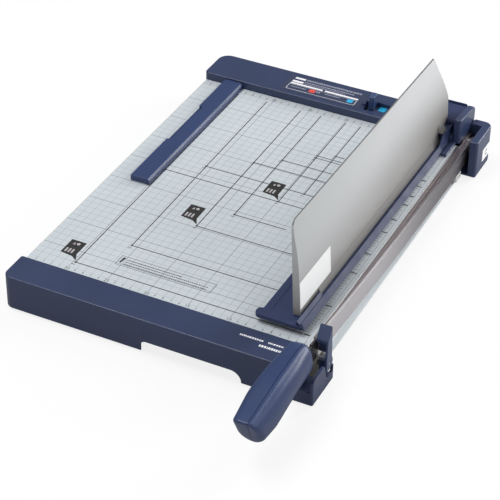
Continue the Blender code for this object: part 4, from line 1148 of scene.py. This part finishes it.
def build_rulers(look):
    """Centimetre numbers along both ends, and a scale of ticks beside the cutting edge."""
    across = range(1, 35)
    numbers = bmesh.new()
    for count in across:
        whole = count % 5 == 0
        text = str(count) if whole else str(count % 10)
        size = 6.4 if whole else 4.2
        for row in (-433.6, -8.4):
            add_text(numbers, text, (-10 * count, row), size)
    settle_print("ruler_numbers", numbers, look["soft_ink"])

    ticks = bmesh.new()
    for count in range(4, 43):
        y = -10 * count
        add_box(ticks, (-18.4, -12.6), (y - 0.25, y + 0.25), ALONG_Z)
        add_box(ticks, (-18.4, -14.6), (y - 5.22, y - 4.78), ALONG_Z)
    for count in across:
        x = -10 * count
        add_box(ticks, (x - 0.15, x + 0.15), (-431, -429.6), ALONG_Z)
        add_box(ticks, (x - 0.15, x + 0.15), (-4.6, -2.2), ALONG_Z)
    add_box(ticks, (-11, -10.7), (-436, -4), ALONG_Z)
    settle_print("ruler_ticks", ticks, look["soft_ink"])


def add_text(shape, text, place, size):
    """Adds the outline of a number, as a thin film centred on a place on the table."""
    curve = bpy.data.curves.new("number", "FONT")
    curve.body = text
    curve.size = size
    curve.align_x = "CENTER"
    curve.align_y = "CENTER"
    curve.extrude = PRINT_FILM / 2
    curve.resolution_u = 2
    writer = bpy.data.objects.new("number", curve)
    bpy.context.scene.collection.objects.link(writer)
    bpy.context.view_layer.update()
    graph = bpy.context.evaluated_depsgraph_get()
    mesh = bpy.data.meshes.new_from_object(writer.evaluated_get(graph))
    mesh.transform(Matrix.Translation((*place, PRINT_LIFT + PRINT_FILM / 2)))
    shape.from_mesh(mesh)
    bpy.data.objects.remove(writer, do_unlink=True)
    bpy.data.meshes.remove(mesh)
    bpy.data.curves.remove(curve)


def finish_packed_nodes(look):
    """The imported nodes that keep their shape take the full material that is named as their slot."""
    slots = {part["node"]: part["material_slot"] for part in frame["record"]["subparts"]}
    for node, thing in frame["nodes"].items():
        if slots[node] in look:
            thing.data.materials.clear()
            thing.data.materials.append(look[slots[node]])


# --- floor, light and camera


def build_stage():
    floor_mesh = bpy.data.meshes.new("floor")
    reach = (-6.0, 6.0)
    corners = [(x, y, 0) for x, y in rectangle(reach, reach)]
    floor_mesh.from_pydata(corners, [], [(0, 1, 2, 3)])
    floor = bpy.data.objects.new("floor", floor_mesh)
    bpy.context.scene.collection.objects.link(floor)
    look = Look("pale_floor")
    look.colour(varied(look, (0.52, 0.52, 0.52, 1), 0.01, 0.8))
    look.roughness(0.9)
    look.set(Specular_IOR_Level=0.1)
    lift_for_camera(look)
    floor_mesh.materials.append(look.material)

    world = bpy.data.worlds.new("studio")
    world.use_nodes = True
    nodes = world.node_tree.nodes
    links = world.node_tree.links
    background = nodes["Background"]
    background.inputs["Color"].default_value = (1, 1, 1, 1)
    rays = nodes.new("ShaderNodeLightPath")
    strength = nodes.new("ShaderNodeMapRange")
    strength.inputs["To Min"].default_value = 0.30
    strength.inputs["To Max"].default_value = 1.0
    links.new(rays.outputs["Is Camera Ray"], strength.inputs["Value"])
    links.new(strength.outputs["Result"], background.inputs["Strength"])
    bpy.context.scene.world = world
    bpy.context.scene.view_settings.view_transform = "Standard"


def lift_for_camera(look):
    """The camera sees the floor almost white, and everything else sees the plain matt floor."""
    glow = look.nodes.new("ShaderNodeEmission")
    glow.inputs["Strength"].default_value = 1.16
    rays = look.nodes.new("ShaderNodeLightPath")
    blend = look.nodes.new("ShaderNodeMixShader")
    share = look.math("MULTIPLY", rays.outputs["Is Camera Ray"], 0.72)
    look.links.new(share, blend.inputs[0])
    look.links.new(look.shader.outputs[0], blend.inputs[1])
    look.links.new(glow.outputs[0], blend.inputs[2])
    look.links.new(blend.outputs[0], look.nodes["Material Output"].inputs["Surface"])


def soft_light(name, place, aim, size, power):
    data = bpy.data.lights.new(name, "AREA")
    data.shape = "RECTANGLE"
    data.size, data.size_y = size
    data.energy = power
    light = bpy.data.objects.new(name, data)
    light.location = place
    light.rotation_euler = (Vector(aim) - Vector(place)).to_track_quat("-Z", "Y").to_euler()
    bpy.context.scene.collection.objects.link(light)


def build_lights():
    soft_light("key", (-0.9, -0.3, 2.4), (0, 0, 0), (1.5, 1.1), 41)
    soft_light("rear_strip", (0.85, 1.35, 1.15), (0.15, -0.4, 0.05), (0.42, 2.0), 18)
    soft_light("right_rear", (1.5, 1.5, 0.62), (0.1, -0.2, 0.05), (0.6, 0.7), 12)
    soft_light("right_fill", (2.2, -0.6, 0.9), (0.1, 0, 0.05), (1.2, 1.0), 12)
    soft_light("front_fill", (0.2, -2.4, 0.8), (0, 0, 0), (1.6, 0.8), 5)


def build_camera():
    azimuth, elevation, roll = 25.6, 35.96, 0.983
    aim = ZERO + Vector((-135.2, -310.9, 0)) * MM
    distance = 2.0313
    turn = (
        Matrix.Rotation(math.radians(azimuth), 4, "Z")
        @ Matrix.Rotation(math.radians(90 - elevation), 4, "X")
        @ Matrix.Rotation(math.radians(roll), 4, "Z")
    )
    data = bpy.data.cameras.new("camera")
    data.sensor_width = 36
    data.lens = 130.43
    camera = bpy.data.objects.new("camera", data)
    camera.matrix_world = Matrix.Translation(aim) @ turn @ Matrix.Translation((0, 0, distance))
    bpy.context.scene.collection.objects.link(camera)
    bpy.context.scene.camera = camera


def build_all():
    look = make_materials()
    build_front_casing(look)
    build_rear_casing(look)
    build_rear_panel(look)
    build_pivot_covers(look)
    build_arm(look)
    build_handle(look)
    build_arm_lock(look)
    build_clamp(look)
    build_guard(look)
    build_guide(look)
    build_selector(look)
    build_paper_outlines(look)
    build_tags(look)
    build_text_box(look)
    build_rulers(look)
    finish_packed_nodes(look)
    build_stage()
    build_lights()
    build_camera()


build_all()
